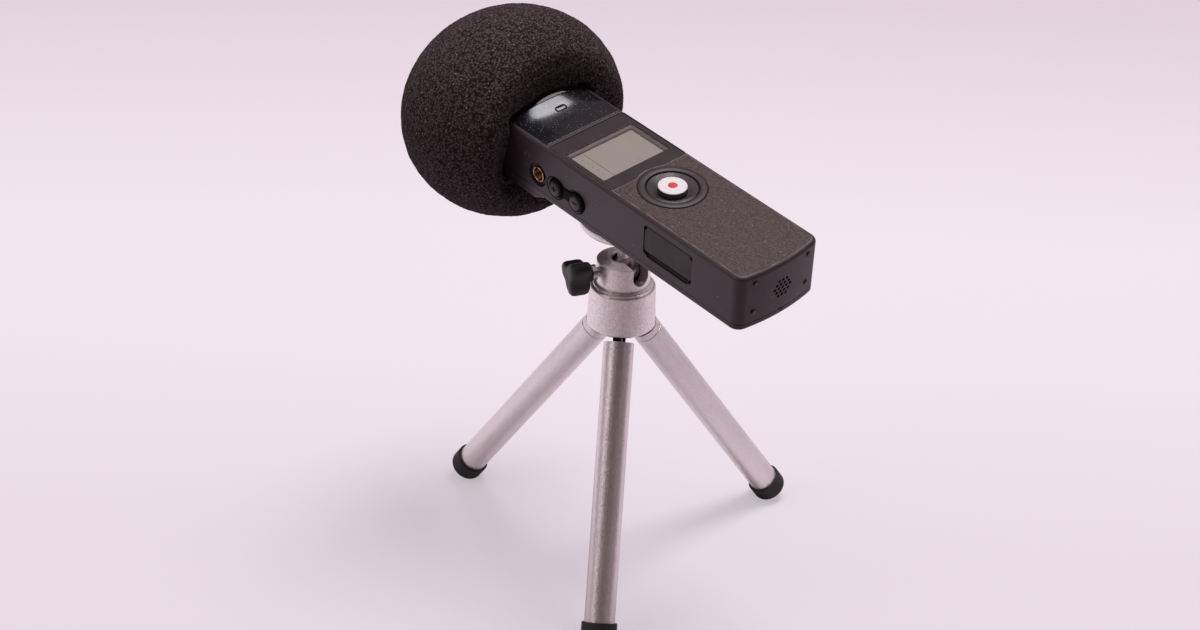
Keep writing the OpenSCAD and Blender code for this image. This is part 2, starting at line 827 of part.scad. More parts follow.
module battery() {
    color([0.2, 0.35, 0.3]) on_recorder() translate([0, cell_y, cell_z]) rotate([-90, 0, 0]) {
        cylinder(r = cell_r, h = cell_len - 1.4);
        cylinder(r = 2.7, h = cell_len);
    }
}

module battery_contacts() {
    color(steel) on_recorder() {
        for (y = [cell_y - contact_gap - contact_t, cell_y + cell_len + contact_gap])
            translate([-contact_w / 2, y, cell_z - contact_w / 2]) cube([contact_w, contact_t, contact_h]);
    }
}

// Back switches: a square thumb piece with a flange inside the rear tray
module back_switch(i) {
    color(rubber) on_recorder() translate([slider_xs[i] - slider_travel / 2, slider_y, 0]) {
        translate([-1, -1, 0.15]) cube([2, 2, wall]);
        translate([-1.6, -1.8, wall - 0.2 + 0.1]) cube([3.2, 3.6, 1]);
    }
}

module low_cut_switch() {
    back_switch(0);
}

module auto_level_switch() {
    back_switch(1);
}

module format_switch() {
    back_switch(2);
}

module speaker() {
    color(steel) on_recorder() translate([0, wall + 0.75, speaker_z]) rotate([-90, 0, 0]) {
        cylinder(r = 6, h = 1.6);
        cylinder(r = 3, h = 2.6);
    }
}

// Four glossy studs that the recorder can stand on
module end_feet() {
    color(gloss) on_recorder() for (x = [-stud_x, stud_x], z = stud_zs)
        translate([x, stud_y() + stud_seat, z]) rotate([90, 0, 0]) {
            cylinder(r = stud_r, h = stud_seat + 0.15);
            translate([0, 0, stud_seat + 0.15]) cylinder(r1 = stud_r, r2 = stud_r - 0.3, h = 0.3);
        }
}

module thread_bush() {
    color(steel) on_recorder() translate([0, thread_y, 0]) difference() {
        cylinder(r = screw_r + 2, h = screw_len + 1.6);
        translate([0, 0, -1]) cylinder(r = screw_r + 0.05, h = screw_len + 1.4);
    }
}

// Microphones

module mic_cage() {
    slot_pitch = 3.3;
    straight = cage_len * 0.66;
    color(black) on_recorder() difference() {
        hull() {
            head_slab(case_len, case_len + straight, 0.15);
            head_slab(case_len + 1, case_len + cage_len * 0.88, 1.2);
            head_slab(case_len + 1, head_len, 3.6);
        }
        translate([0, case_len + straight, 0]) rotate([90, 0, 0]) linear_extrude(straight + 1) head_section(cage_wall);
        // Sound slots across the front, the back and the end
        for (i = [0:2]) translate([-cage_slot_w / 2, case_len + 2.6 + i * slot_pitch, -heel_drop - 1])
            cube([cage_slot_w, cage_slot, head_top + heel_drop + 2]);
        for (i = [-3:3]) translate([i * slot_pitch - cage_slot / 2, case_len + straight - 1, 3])
            cube([cage_slot, cage_len, head_top - heel_drop - 6]);
    }
}

// Bridge that carries the crossed capsules
module mic_mount() {
    bridge_h = 2 * (capsule_dz + capsule_r + 0.6);
    color(rubber) on_recorder() difference() {
        union() {
            translate([-mount_w / 2, case_len + fit_gap, head_mid - mount_h / 2]) cube([mount_w, mount_t, mount_h]);
            translate([-bridge_w / 2, case_len + 1, head_mid - bridge_h / 2]) cube([bridge_w, bridge_len, bridge_h]);
        }
        for (s = [-1, 1]) translate([0, capsule_y, head_mid + s * capsule_dz]) rotate([90, 0, s * 45])
            cylinder(r = capsule_r + fit_gap, h = mount_w, center = true);
    }
}

module capsule(s) {
    color(steel) on_recorder() translate([0, capsule_y, head_mid + s * capsule_dz]) rotate([0, 0, s * 45])
        rotate([90, 0, 0]) difference() {
            cylinder(r = capsule_r, h = capsule_len, center = true);
            translate([0, 0, -capsule_len / 2 - 1]) cylinder(r = capsule_r - 0.7, h = 1.5);
        }
}

module left_capsule() {
    capsule(1);
}

module right_capsule() {
    capsule(-1);
}

module case_screws() {
    color(steel) on_recorder() for (x = [-boss_x, boss_x], y = boss_ys) translate([x, y, 0]) {
        translate([0, 0, screw_head_top - 0.05]) cylinder(r = screw_hole_r - 0.05, h = 7);
        difference() {
            translate([0, 0, 0.1]) cylinder(r = screw_head_r, h = screw_head_top - 0.1);
            translate([-1.2, -0.2, -0.5]) cube([2.4, 0.4, 1]);
            translate([-0.2, -1.2, -0.5]) cube([0.4, 2.4, 1]);
        }
    }
}

// Windscreen: a foam ball with a flat, round-edged mouth and a straight pocket for the head
module foam_profile() {
    lip_y = -foam_cut + foam_lip;
    lip_x = sqrt(pow(foam_r - foam_lip, 2) - lip_y * lip_y);
    meet = atan2(lip_y, lip_x);
    steps = 32;
    polygon(concat(
        [[0, -foam_cut], [lip_x, -foam_cut]],
        [for (i = [1:6]) arc_point([lip_x, lip_y], foam_lip, -90 + (meet + 90) * i / 7)],
        [for (i = [0:steps - 1]) arc_point([0, 0], foam_r, meet + (90 - meet) * i / steps)],
        [[0, foam_r]]));
}

function arc_point(centre, r, a) = centre + r * [cos(a), sin(a)];

module windscreen() {
    gap = 0.3;
    color([0.12, 0.11, 0.11]) on_recorder() difference() {
        translate([0, foam_y, foam_z]) rotate([-90, 0, 0]) rotate_extrude($fn = 96) foam_profile();
        translate([0, foam_y - foam_r, 0]) rotate([-90, 0, 0]) linear_extrude(head_len - foam_y + foam_r + 1)
            translate([0, -head_mid]) rounded_rect(case_w + 2 * gap, head_top + heel_drop + 2 * gap, 2);
    }
}

// Ball head

module camera_pad() {
    color(rubber) on_ball() translate([0, 0, stem_rise - pad_t - fit_gap]) difference() {
        cylinder(r = plate_r - 0.8, h = pad_t);
        translate([0, 0, -1]) cylinder(r = screw_r + fit_gap, h = pad_t + 2);
    }
}

// Ball, stem, platform and camera screw in one piece
module ball_stud() {
    plate_z = stem_rise - pad_t - fit_gap - plate_t;
    color(silver) on_ball() {
        difference() {
            sphere(r = ball_r);
            // Lathe centres on the tilt axis
            for (s = [-1, 1]) translate([s * ball_r, 0, 0]) rotate([0, 90, 0])
                cylinder(r = centre_r, h = 2 * centre_depth, center = true);
        }
        cylinder(r = stem_r, h = plate_z + 1);
        translate([0, 0, plate_z - 3]) cylinder(r1 = stem_r, r2 = stem_r + 3.2, h = 3);
        translate([0, 0, plate_z]) rotate_extrude($fn = 96) polygon([[0, 0], [plate_r - 1.6, 0],
            [plate_r, 1.4], [plate_r, plate_t - 0.5], [plate_r - 0.5, plate_t], [0, plate_t]]);
        translate([0, 0, plate_z]) cylinder(r = screw_r, h = plate_t + pad_t + screw_len);
    }
}

module head_profile() {
    round = 1.2;
    step_r = (shoulder_r + neck_r) / 2;
    polygon(concat(
        [[0, collar_z], [collar_r - 0.4, collar_z], [collar_r, collar_z + 0.5]],
        [for (a = [0:22.5:90]) [shoulder_r - round + round * cos(a), neck_z - round + round * sin(a)]],
        [[step_r, neck_z], [step_r - 0.2, neck_z + 0.5], [neck_r, neck_z + 0.6]],
        [[neck_r, neck_top - 1.2], [neck_r - 0.15, neck_top - 1.05], [neck_r - 3.4, neck_top - 0.15],
            [neck_r - 3.7, neck_top], [0, neck_top]]));
}

module tripod_head() {
    color(silver) on_stand() difference() {
        rotate_extrude($fn = 96) head_profile();
        // Bore for the leg base, ball pocket and its mouth
        translate([0, 0, collar_z - 1]) cylinder(r = collar_r - 1.3, h = base_z + base_t - collar_z + 1);
        translate([0, 0, base_z]) cylinder(r = socket_r, h = ball_z - base_z);
        translate([0, 0, ball_z]) sphere(r = socket_r);
        translate([0, 0, ball_z]) cylinder(r = mouth_r, h = lip_rise);
        translate([0, 0, ball_z + lip_rise - eps]) cylinder(r1 = mouth_r, r2 = mouth_r + 0.5, h = 0.7 + 2 * eps);
        // Slot that lets the stem drop forward
        translate([0, 0, ball_z]) rotate([90, 0, 0]) cylinder(r = slot_w / 2, h = neck_r + 2);
        translate([-slot_w / 2, -neck_r - 2, ball_z]) cube([slot_w, neck_r + 2, neck_h]);
        // Lock screw
        translate([0, 0, ball_z]) rotate([0, 90, knob_az]) cylinder(r = lock_r + 0.05, h = neck_r + 2);
    }
}

// Plastic seat under the ball
module ball_seat() {
    color(rubber) on_stand() difference() {
        translate([0, 0, base_z + base_t])
            cylinder(r = socket_r - fit_gap, h = ball_z - stem_r - 0.7 - base_z - base_t);
        translate([0, 0, ball_z]) sphere(r = socket_r);
    }
}

// Black insert in the collar with a pair of ears for each leg
module leg_base() {
    reach = tongue_t / 2 + ear_gap;
    color(rubber) on_stand() {
        translate([0, 0, base_z]) cylinder(r = collar_r - 1.3 - fit_gap, h = base_t);
        for (az = leg_azs) rotate([0, 0, az]) translate([hinge_r, 0, hinge_z]) for (s = [-1, 1])
            translate([0, s * (reach + ear_t / 2), 0]) rotate([90, 0, 0]) linear_extrude(ear_t, center = true) difference() {
                union() {
                    circle(ear_r);
                    translate([-ear_r, -ear_drop]) square([2 * ear_r, ear_drop + base_z - hinge_z + 0.2]);
                }
                circle(pin_r);
            }
    }
}

module leg_pins() {
    len = tongue_t + 2 * ear_gap + 2 * ear_t;
    color(steel) on_stand() for (az = leg_azs) rotate([0, 0, az]) translate([hinge_r, 0, hinge_z])
        rotate([90, 0, 0]) cylinder(r = pin_r, h = len, center = true);
}

// Three-lobed knob, drawn along Z with its outer face up, then turned to face away from the neck
module on_lock() {
    on_stand() translate([0, 0, ball_z]) rotate([0, 90, knob_az]) translate([0, 0, neck_r]) children();
}

module lock_knob() {
    lobe_r = 3.1;
    lobe_z = knob_gap + 1.4;
    lobe_h = knob_len - 2.2;
    color(rubber) on_lock() difference() {
        union() {
            translate([0, 0, knob_gap]) cylinder(r = 3.4, h = knob_len);
            for (a = [60:120:300]) rotate([0, 0, a]) {
                translate([knob_r - lobe_r, 0, lobe_z]) cylinder(r = lobe_r, h = lobe_h);
                translate([0, -1.7, lobe_z]) cube([knob_r - lobe_r, 3.4, lobe_h - 0.4]);
            }
        }
        // Dimples in the lobes, and the hole for the screw
        for (a = [60:120:300]) rotate([0, 0, a])
            translate([knob_r - lobe_r, 0, lobe_z + lobe_h - 0.6]) cylinder(r = 1.5, h = 2);
        cylinder(r = lock_r, h = lock_end);
    }
}

module lock_screw() {
    tip = ball_r + 0.25 - neck_r;
    color(steel) on_lock() {
        translate([0, 0, tip]) cylinder(r = lock_r, h = lock_end - tip);
        translate([0, 0, 1.2]) cylinder(r = 2.9, h = knob_gap - 1.25);
    }
}

// Legs, drawn with the hinge at the origin

module leg_tube(az) {
    color(silver) on_leg(az) translate([0, 0, -tube_drop - tube_len - sleeve]) difference() {
        cylinder(r = tube_d / 2, h = tube_len + sleeve);
        translate([0, 0, -1]) cylinder(r = tube_in_r, h = tube_len + sleeve + 2);
        // Fine line of the top ring
        translate([0, 0, tube_len + sleeve - ring_drop]) difference() {
            cylinder(r = tube_d, h = 0.3);
            translate([0, 0, -1]) cylinder(r = tube_d / 2 - 0.2, h = 3);
        }
    }
}

// Plug in the top of a leg, with the tongue that the hinge pin goes through
module leg_hinge(az) {
    width = 4.2;
    color(rubber) on_leg(az) difference() {
        union() {
            translate([0, 0, -plug_top - plug_len]) cylinder(r = tube_in_r - fit_gap, h = plug_len);
            rotate([90, 0, 0]) linear_extrude(tongue_t, center = true) {
                circle(width / 2);
                translate([-width / 2, -plug_top - 0.2]) square([width, plug_top + 0.2]);
            }
        }
        rotate([90, 0, 0]) cylinder(r = pin_r + 0.05, h = tongue_t + 2, center = true);
    }
}

module leg_foot(az) {
    color(rubber) difference() {
        on_leg(az) translate([0, 0, -leg_reach]) difference() {
            rotate_extrude($fn = 72) union() {
                translate([0, foot_round]) square([foot_r, foot_len - foot_round]);
                square([foot_r - foot_round, foot_round + 1]);
                translate([foot_r - foot_round, foot_round]) circle(foot_round);
            }
            translate([0, 0, foot_len - sleeve - fit_gap]) cylinder(r = tube_d / 2 + fit_gap, h = 2 * sleeve);
        }
        translate([-300, -300, -50]) cube([600, 600, 50]);
    }
}

module front_leg() {
    leg_tube(leg_azs[0]);
}

module right_leg() {
    leg_tube(leg_azs[1]);
}

module left_leg() {
    leg_tube(leg_azs[2]);
}

module front_hinge() {
    leg_hinge(leg_azs[0]);
}

module right_hinge() {
    leg_hinge(leg_azs[1]);
}

module left_hinge() {
    leg_hinge(leg_azs[2]);
}

module front_foot() {
    leg_foot(leg_azs[0]);
}

module right_foot() {
    leg_foot(leg_azs[1]);
}

module left_foot() {
    leg_foot(leg_azs[2]);
}

front_case();
rear_case();
window_panel();
lcd_lens();
lcd_module();
main_board();
rec_bezel();
rec_button();
rec_dot();
peak_lamp();
volume_rocker();
level_rocker();
phones_jack();
phones_ring();
line_jack();
line_ring();
usb_socket();
power_switch();
play_key();
rewind_key();
forward_key();
delete_key();
card_door();
card_socket();
memory_card();
battery_door();
battery();
battery_contacts();
low_cut_switch();
auto_level_switch();
format_switch();
speaker();
end_feet();
thread_bush();
mic_cage();
mic_mount();
left_capsule();
right_capsule();
case_screws();
windscreen();
camera_pad();
ball_stud();
tripod_head();
ball_seat();
leg_base();
leg_pins();
lock_knob();
lock_screw();
front_leg();
right_leg();
left_leg();
front_hinge();
right_hinge();
left_hinge();
front_foot();
right_foot();
left_foot();
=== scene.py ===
"""Looks of a pocket sound recorder with a foam windscreen on a three-legged table stand.

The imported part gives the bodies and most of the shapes. This script gives every surface its material, lays
foam, signs and small marks over the part, and sets the floor, the light and the camera. Materials, lights
and the camera are in metres. Pieces of the recorder are drawn in millimetres, in its own frame: X to its
right, Y towards the microphones and Z out of its front.
"""
import json
import math

import bmesh
import bpy
import numpy as np
from mathutils import Matrix, Vector, noise


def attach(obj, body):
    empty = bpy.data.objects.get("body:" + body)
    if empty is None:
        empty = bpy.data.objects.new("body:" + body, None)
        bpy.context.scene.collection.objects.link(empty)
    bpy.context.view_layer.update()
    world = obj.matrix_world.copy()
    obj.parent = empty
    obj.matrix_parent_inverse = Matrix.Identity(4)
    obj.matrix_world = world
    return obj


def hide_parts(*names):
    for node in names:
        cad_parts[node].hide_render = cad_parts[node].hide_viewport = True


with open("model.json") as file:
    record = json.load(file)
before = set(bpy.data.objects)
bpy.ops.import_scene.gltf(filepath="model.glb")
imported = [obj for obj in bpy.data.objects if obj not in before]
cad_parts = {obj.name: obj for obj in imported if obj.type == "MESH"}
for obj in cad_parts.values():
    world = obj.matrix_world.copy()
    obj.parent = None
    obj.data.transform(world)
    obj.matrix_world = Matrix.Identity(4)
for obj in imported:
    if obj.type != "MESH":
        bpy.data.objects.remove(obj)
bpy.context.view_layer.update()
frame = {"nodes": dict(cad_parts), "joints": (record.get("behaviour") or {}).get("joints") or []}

MM = 0.001
JOINTS = {j["name"]: j for j in frame["joints"]}

# The recorder's frame, from the two joints of the ball head and the place of the stand's thread
THREAD_Y_MM = 75.7
STEM_RISE_MM = 26.2


def axes(x, y, z, origin):
    """A frame given by its three axes and its origin."""
    turn = Matrix((x, y, z)).transposed().to_4x4()
    turn.translation = Vector(origin)
    return turn


def recorder_frame():
    z = Vector(JOINTS["head_pan"]["axis"]).normalized()
    x = Vector(JOINTS["head_tilt"]["axis"]).normalized()
    y = z.cross(x)
    ball = Vector(JOINTS["head_pan"]["pos_m"])
    return axes(x, y, z, ball + (z * STEM_RISE_MM - y * THREAD_Y_MM) * MM)


def new_object(name, data):
    made = bpy.data.objects.new(name, data)
    bpy.context.scene.collection.objects.link(made)
    return made


REC = recorder_frame()
FROM_REC = np.array(REC)
TO_REC = np.array(REC.inverted())


def in_recorder(points):
    """Points of the part's frame in the recorder's frame."""
    return (np.array(points) @ TO_REC[:3, :3].T + TO_REC[:3, 3]) / MM


def on_recorder(points_mm):
    """Points of the recorder's frame in the part's frame."""
    return (np.asarray(points_mm, float) * MM) @ FROM_REC[:3, :3].T + FROM_REC[:3, 3]


def corners_of(node):
    return in_recorder([v.co for v in frame["nodes"][node].data.vertices])


def rec_box(node):
    """Lowest and highest corner of a node in the recorder's frame."""
    local = corners_of(node)
    return local.min(0), local.max(0)


def middle(node):
    low, high = rec_box(node)
    return (low + high) / 2


# Measures of the recorder and the stand's ball, read from the part or the same as the part's
PANEL_SUNK = 0.05
CASE_LOW, CASE_HIGH = rec_box("front_case")
HALF_W = CASE_HIGH[0]
CASE_END = CASE_HIGH[1]
FRONT_Z = rec_box("window_panel")[1][2] + PANEL_SUNK
EDGE_R = 1.4
BROW_RISE = CASE_HIGH[2] - FRONT_Z
BROW_LEN = 21.0
BROW_CURVE = 1.8
DISH_R = 9.3
PAD_R = 3.7
BALL_R = 6.1
REC_MID = middle("rec_button")
BALL_MID = in_recorder(JOINTS["head_pan"]["pos_m"])

# The brow's glossy skin: its crest's way before the case's end, the crest's height and the climb's power
CREST_BACK = 3.0
CREST_RISE = 3.1
CREST_CURVE = 2.4

# How far marks and seams reach into the surface that carries them
SUNK = 0.05


# Materials

# Radii that soften sharp edges, in metres
EDGE_FINE = 0.0001
EDGE_MID = 0.0002
EDGE_MOULDED = 0.00025
EDGE_SOFT = 0.0003


class Look:
    """Nodes of a material or the sky written as calls: each adds a node and gives its socket or the node."""

    def __init__(self, owner, space=None, place="Object"):
        self.owner = owner
        owner.use_nodes = True
        self.nodes = owner.node_tree.nodes
        self.links = owner.node_tree.links
        self.nodes.clear()
        self.at = self.node("TexCoord", object=space).outputs[place]

    def node(self, kind, inputs=None, **settings):
        made = self.nodes.new("ShaderNode" + kind)
        for name, value in settings.items():
            setattr(made, name, value)
        for key, value in (inputs or {}).items():
            if isinstance(value, bpy.types.NodeSocket):
                self.links.new(value, made.inputs[key])
            else:
                made.inputs[key].default_value = value
        return made

    def first(self, kind, inputs, **settings):
        """The first socket of a new node."""
        return self.node(kind, inputs, **settings).outputs[0]

    def noise(self, scale, detail=2.0, at=None):
        made = self.node("TexNoise", {"Vector": at or self.at, "Scale": scale, "Detail": detail})
        return made.outputs["Fac"]

    def cells(self, scale):
        return self.node("TexVoronoi", {"Vector": self.at, "Scale": scale}).outputs

    def stretched(self, scale):
        return self.node("Mapping", {"Vector": self.at, "Scale": scale}).outputs["Vector"]

    def ramp(self, value, *stops):
        """Grey or colour by value: each stop is (value, shade)."""
        made = self.node("ValToRGB", {"Fac": value})
        spots = made.color_ramp.elements
        spots[0].position, spots[1].position = stops[0][0], stops[-1][0]
        between = [spots.new(place) for place, shade in stops[1:-1]]
        for spot, (place, shade) in zip([spots[0], *between, spots[len(spots) - 1]], stops):
            spot.color = (*shade, 1) if isinstance(shade, tuple) else (shade, shade, shade, 1)
        return made.outputs["Color"]

    def span(self, value, low, high):
        """A value's place in a range, from 0 to 1."""
        return self.node("MapRange", {"Value": value, "From Min": low, "From Max": high}).outputs["Result"]

    def mix(self, share, a, b):
        a, b = [(*c, 1) if isinstance(c, tuple) else c for c in (a, b)]
        return self.node("Mix", {0: share, 6: a, 7: b}, data_type="RGBA").outputs[2]

    def math(self, operation, a, b):
        return self.first("Math", {0: a, 1: b}, operation=operation)

    def vector(self, operation, inputs):
        return self.first("VectorMath", inputs, operation=operation)

    def dot(self, a, b):
        return self.node("VectorMath", {0: a, 1: b}, operation="DOT_PRODUCT").outputs["Value"]

    def specks(self, scale, share, size):
        """Small soft dots in a share of the cells of a lattice."""
        core = 0.4
        cells = self.cells(scale)
        dot = self.ramp(cells["Distance"], (size * core, 1.0), (size, 0.0))
        return self.math("MULTIPLY", dot, self.math("LESS_THAN", cells["Color"], share))

    def edges(self, radius):
        """Normals that round off sharp edges."""
        return self.node("Bevel", {"Radius": radius}, samples=6).outputs["Normal"]

    def bump(self, height, depth, normal):
        made = self.node("Bump", {"Height": height, "Strength": 1.0, "Distance": depth, "Normal": normal})
        return made.outputs["Normal"]

    def flat(self):
        return self.node("NewGeometry").outputs["Normal"]

    def surface(self, tone, rough, normal, more=None):
        inputs = {"Base Color": tone, "Roughness": rough, "Normal": normal, **(more or {})}
        return self.close(self.first("BsdfPrincipled", inputs))

    def blend(self, share, a, b):
        """One shader that turns into another by a share."""
        return self.first("MixShader", {0: share, 1: a, 2: b})

    def close(self, shader):
        self.node("OutputMaterial", {"Surface": shader})
        return self.owner


def new_look(name, space=None):
    return Look(bpy.data.materials.new(name), space)


def recorder_space():
    """An empty that rides on the recorder, so that its grain and marks keep their place on the case."""
    empty = new_object("recorder_space", None)
    empty.matrix_world = REC
    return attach(empty, "recorder")


SPACE = recorder_space()


def case_plastic():
    look = new_look("case_plastic", SPACE)
    cloud = look.noise(70.0, 4.0)
    share = look.ramp(cloud, (0.35, 0.0), (0.7, 1.0))
    tone = look.mix(share, (0.034, 0.0228, 0.0275), (0.045, 0.0312, 0.0380))
    rubs = look.noise(1.0, 3.0, look.stretched((160.0, 900.0, 160.0)))
    tone = look.mix(look.ramp(rubs, (0.66, 0.0), (0.78, 0.3)), tone, (0.080, 0.070, 0.073))
    tone = look.mix(look.specks(520.0, 0.25, 0.12), tone, (0.34, 0.31, 0.32))
    normal = look.bump(look.noise(4200.0, 2.0), 0.00003, look.edges(EDGE_SOFT))
    return look.surface(tone, look.ramp(cloud, (0.3, 0.42), (0.75, 0.52)), normal)


def case_front():
    """The case's worn and dusty front."""
    look = new_look("case_front", SPACE)
    cloud = look.noise(70.0, 4.0)
    share = look.ramp(cloud, (0.35, 0.0), (0.7, 1.0))
    tone = look.mix(share, (0.030, 0.0160, 0.0155), (0.038, 0.0215, 0.0210))
    grain = look.ramp(look.noise(1700.0, 3.0), (0.42, 0.0), (0.58, 1.0))
    tone = look.mix(grain, tone, (0.086, 0.059, 0.057))
    tone = look.mix(look.specks(430.0, 0.3, 0.13), tone, (0.30, 0.27, 0.27))
    normal = look.bump(look.noise(2400.0, 3.0), 0.00004, look.edges(EDGE_SOFT))
    rough = look.ramp(cloud, (0.3, 0.44), (0.75, 0.54))
    return look.surface(tone, rough, normal, {"Specular IOR Level": 0.42})


def worn_and_highlit_edge():
    """Edges pale in places: rubbed wear, and a painted highlight along the front's edge."""
    look = new_look("worn_and_highlit_edge", SPACE)
    rub_and_highlight = look.ramp(look.noise(230.0, 4.0), (0.36, 0.0), (0.6, 1.0))
    tone = look.mix(rub_and_highlight, (0.055, 0.044, 0.045), (0.25, 0.22, 0.223))
    normal = look.bump(look.noise(2600.0, 2.0), 0.00001, look.edges(EDGE_FINE))
    return look.surface(tone, look.ramp(rub_and_highlight, (0.0, 0.4), (1.0, 0.5)), normal)


def glossy(name, cloud_scale, dark, light, dots, dust, grain, depth, rough, tint=(1, 1, 1)):
    """Gloss between two tones: dust dots lie on it, and a fine grain breaks up its reflections."""
    look = new_look(name, SPACE)
    cloud = look.noise(cloud_scale, 4.0)
    tone = look.mix(look.specks(*dots), look.mix(cloud, dark, light), dust)
    normal = look.bump(look.noise(*grain), depth, look.edges(EDGE_MID))
    patchy = look.ramp(cloud, (0.3, rough[0]), (0.75, rough[1]))
    return look.surface(tone, patchy, normal, {"Specular Tint": (*tint, 1)})


def moulded(name, dark, light, patches, grain, depth, edge, rough_scale, rough, shine=0.5):
    """A small moulded part between two tones, with a grain and a patchy gloss."""
    look = new_look(name, SPACE)
    tone = look.mix(look.noise(*patches), dark, light)
    normal = look.bump(look.noise(*grain), depth, look.edges(edge))
    patchy = look.ramp(look.noise(rough_scale), (0.3, rough[0]), (0.7, rough[1]))
    return look.surface(tone, patchy, normal, {"Specular IOR Level": shine})


def plain(name, dark, light, rough, shine=0.5):
    """A dull printed or moulded surface in the recorder's frame, between two tones."""
    look = new_look(name, SPACE)
    cloud = look.noise(240.0, 4.0)
    normal = look.bump(look.noise(3200.0, 2.0), 0.000008, look.edges(EDGE_FINE))
    patchy = look.ramp(cloud, (0.3, rough), (0.7, rough + 0.12))
    return look.surface(look.mix(cloud, dark, light), patchy, normal, {"Specular IOR Level": shine})


def dish_gloss():
    """Gloss that turns paler and patchy towards the dish's lower corner, between two distances from its
    middle.
    """
    down, plain_within, palest_beyond = (-0.55, -0.83, 0.0), 0.0045, 0.0085
    look = new_look("dish_gloss", SPACE)
    cloud = look.noise(240.0, 4.0)
    tone = look.mix(cloud, (0.050, 0.044, 0.048), (0.072, 0.064, 0.069))
    off = look.vector("SUBTRACT", {0: look.at, 1: (*(REC_MID[:2] * MM), 0.0)})
    low = look.span(look.dot(off, down), plain_within, palest_beyond)
    # The share by which the dish turns paler and patchy towards its lower corner
    dust = look.math("MULTIPLY", low, look.ramp(look.noise(1500.0, 2.0), (0.4, 0.25), (0.6, 0.9)))
    tone = look.mix(dust, tone, (0.46, 0.41, 0.44))
    normal = look.bump(look.noise(3200.0, 2.0), 0.000008, look.edges(EDGE_FINE))
    return look.surface(tone, look.ramp(cloud, (0.3, 0.22), (0.7, 0.34)), normal)


def clear_window():
    """A clear plate that mirrors at a slant, with flecks of dust."""
    look = new_look("clear_window", SPACE)
    smear = look.ramp(look.noise(160.0, 4.0), (0.35, 0.030), (0.7, 0.040))
    glass = look.first("BsdfTransparent", {"Color": (0.95, 0.94, 0.93, 1)})
    shine = look.first("BsdfGlossy", {"Color": (1, 1, 1, 1), "Roughness": smear})
    front = look.math("SUBTRACT", 1.0, look.node("NewGeometry").outputs["Backfacing"])
    share = look.math("MULTIPLY", look.first("Fresnel", {"IOR": 1.4}), front)
    dust = look.first("BsdfDiffuse", {"Color": (0.55, 0.52, 0.51, 1)})
    fleck = look.specks(560.0, 0.14, 0.10)
    return look.close(look.blend(fleck, look.blend(share, glass, shine), dust))


def metal(name, dark, light, rough, grain):
    """Bare metal between two tones; grain stretches its fine lines."""
    look = new_look(name)
    cloud = look.noise(260.0, 4.0)
    normal = look.bump(look.noise(1.0, 2.0, look.stretched(grain)), 0.000003, look.edges(EDGE_FINE))
    patchy = look.ramp(cloud, (0.3, rough), (0.7, rough + 0.12))
    return look.surface(look.mix(cloud, dark, light), patchy, normal, {"Metallic": 1.0})


def grained(name, dark, light, rough, grain, depth):
    """Plastic, rubber or film with a grain and a few dots of dust."""
    look = new_look(name)
    cloud = look.noise(180.0, 4.0)
    tone = look.mix(look.specks(700.0, 0.25, 0.12), look.mix(cloud, dark, light), (0.22, 0.20, 0.20))
    normal = look.bump(look.noise(grain, 2.0), depth, look.edges(EDGE_MOULDED))
    return look.surface(tone, look.ramp(cloud, (0.3, rough), (0.7, rough + 0.14)), normal)


def silver_paint(name, dark, light):
    """Metallic paint: each fleck of it leans its own way and so glints by itself."""
    leaning = 0.16
    look = new_look(name)
    lean = look.vector("SUBTRACT", {0: look.cells(3000.0)["Color"], 1: (0.5, 0.5, 0.5)})
    lean = look.vector("SCALE", {0: lean, 3: leaning})
    normal = look.vector("NORMALIZE", {0: look.vector("ADD", {0: look.edges(EDGE_MID), 1: lean})})
    cloud = look.noise(45.0, 4.0)
    tone = look.mix(look.ramp(look.noise(1300.0, 2.0), (0.4, 0.0), (0.6, 1.0)), dark, light)
    tone = look.mix(look.specks(260.0, 0.10, 0.08), tone, (0.20, 0.17, 0.17))
    return look.surface(tone, look.ramp(cloud, (0.3, 0.36), (0.7, 0.41)), normal, {"Metallic": 0.92})


def foam_look():
    """Foam: pale lit cell walls over pores painted dark as their shade, with paler specks and a rough, dull
    surface.
    """
    look = new_look("foam", SPACE)
    pores = look.cells(1200.0)["Distance"]
    lit_walls = look.ramp(pores, (0.15, 1.0), (0.65, 0.0))
    tone = look.mix(lit_walls, (0.021, 0.0157, 0.0163), (0.138, 0.108, 0.111))
    tone = look.mix(look.specks(700.0, 0.4, 0.24), tone, (0.33, 0.275, 0.285))
    normal = look.bump(look.math("ADD", pores, look.noise(2600.0, 3.0)), 0.0004, look.flat())
    return look.surface(tone, 0.95, normal, {"Specular IOR Level": 0.1, "Sheen Weight": 0.05,
                                             "Sheen Roughness": 0.5, "Sheen Tint": (1.0, 0.88, 0.92, 1)})


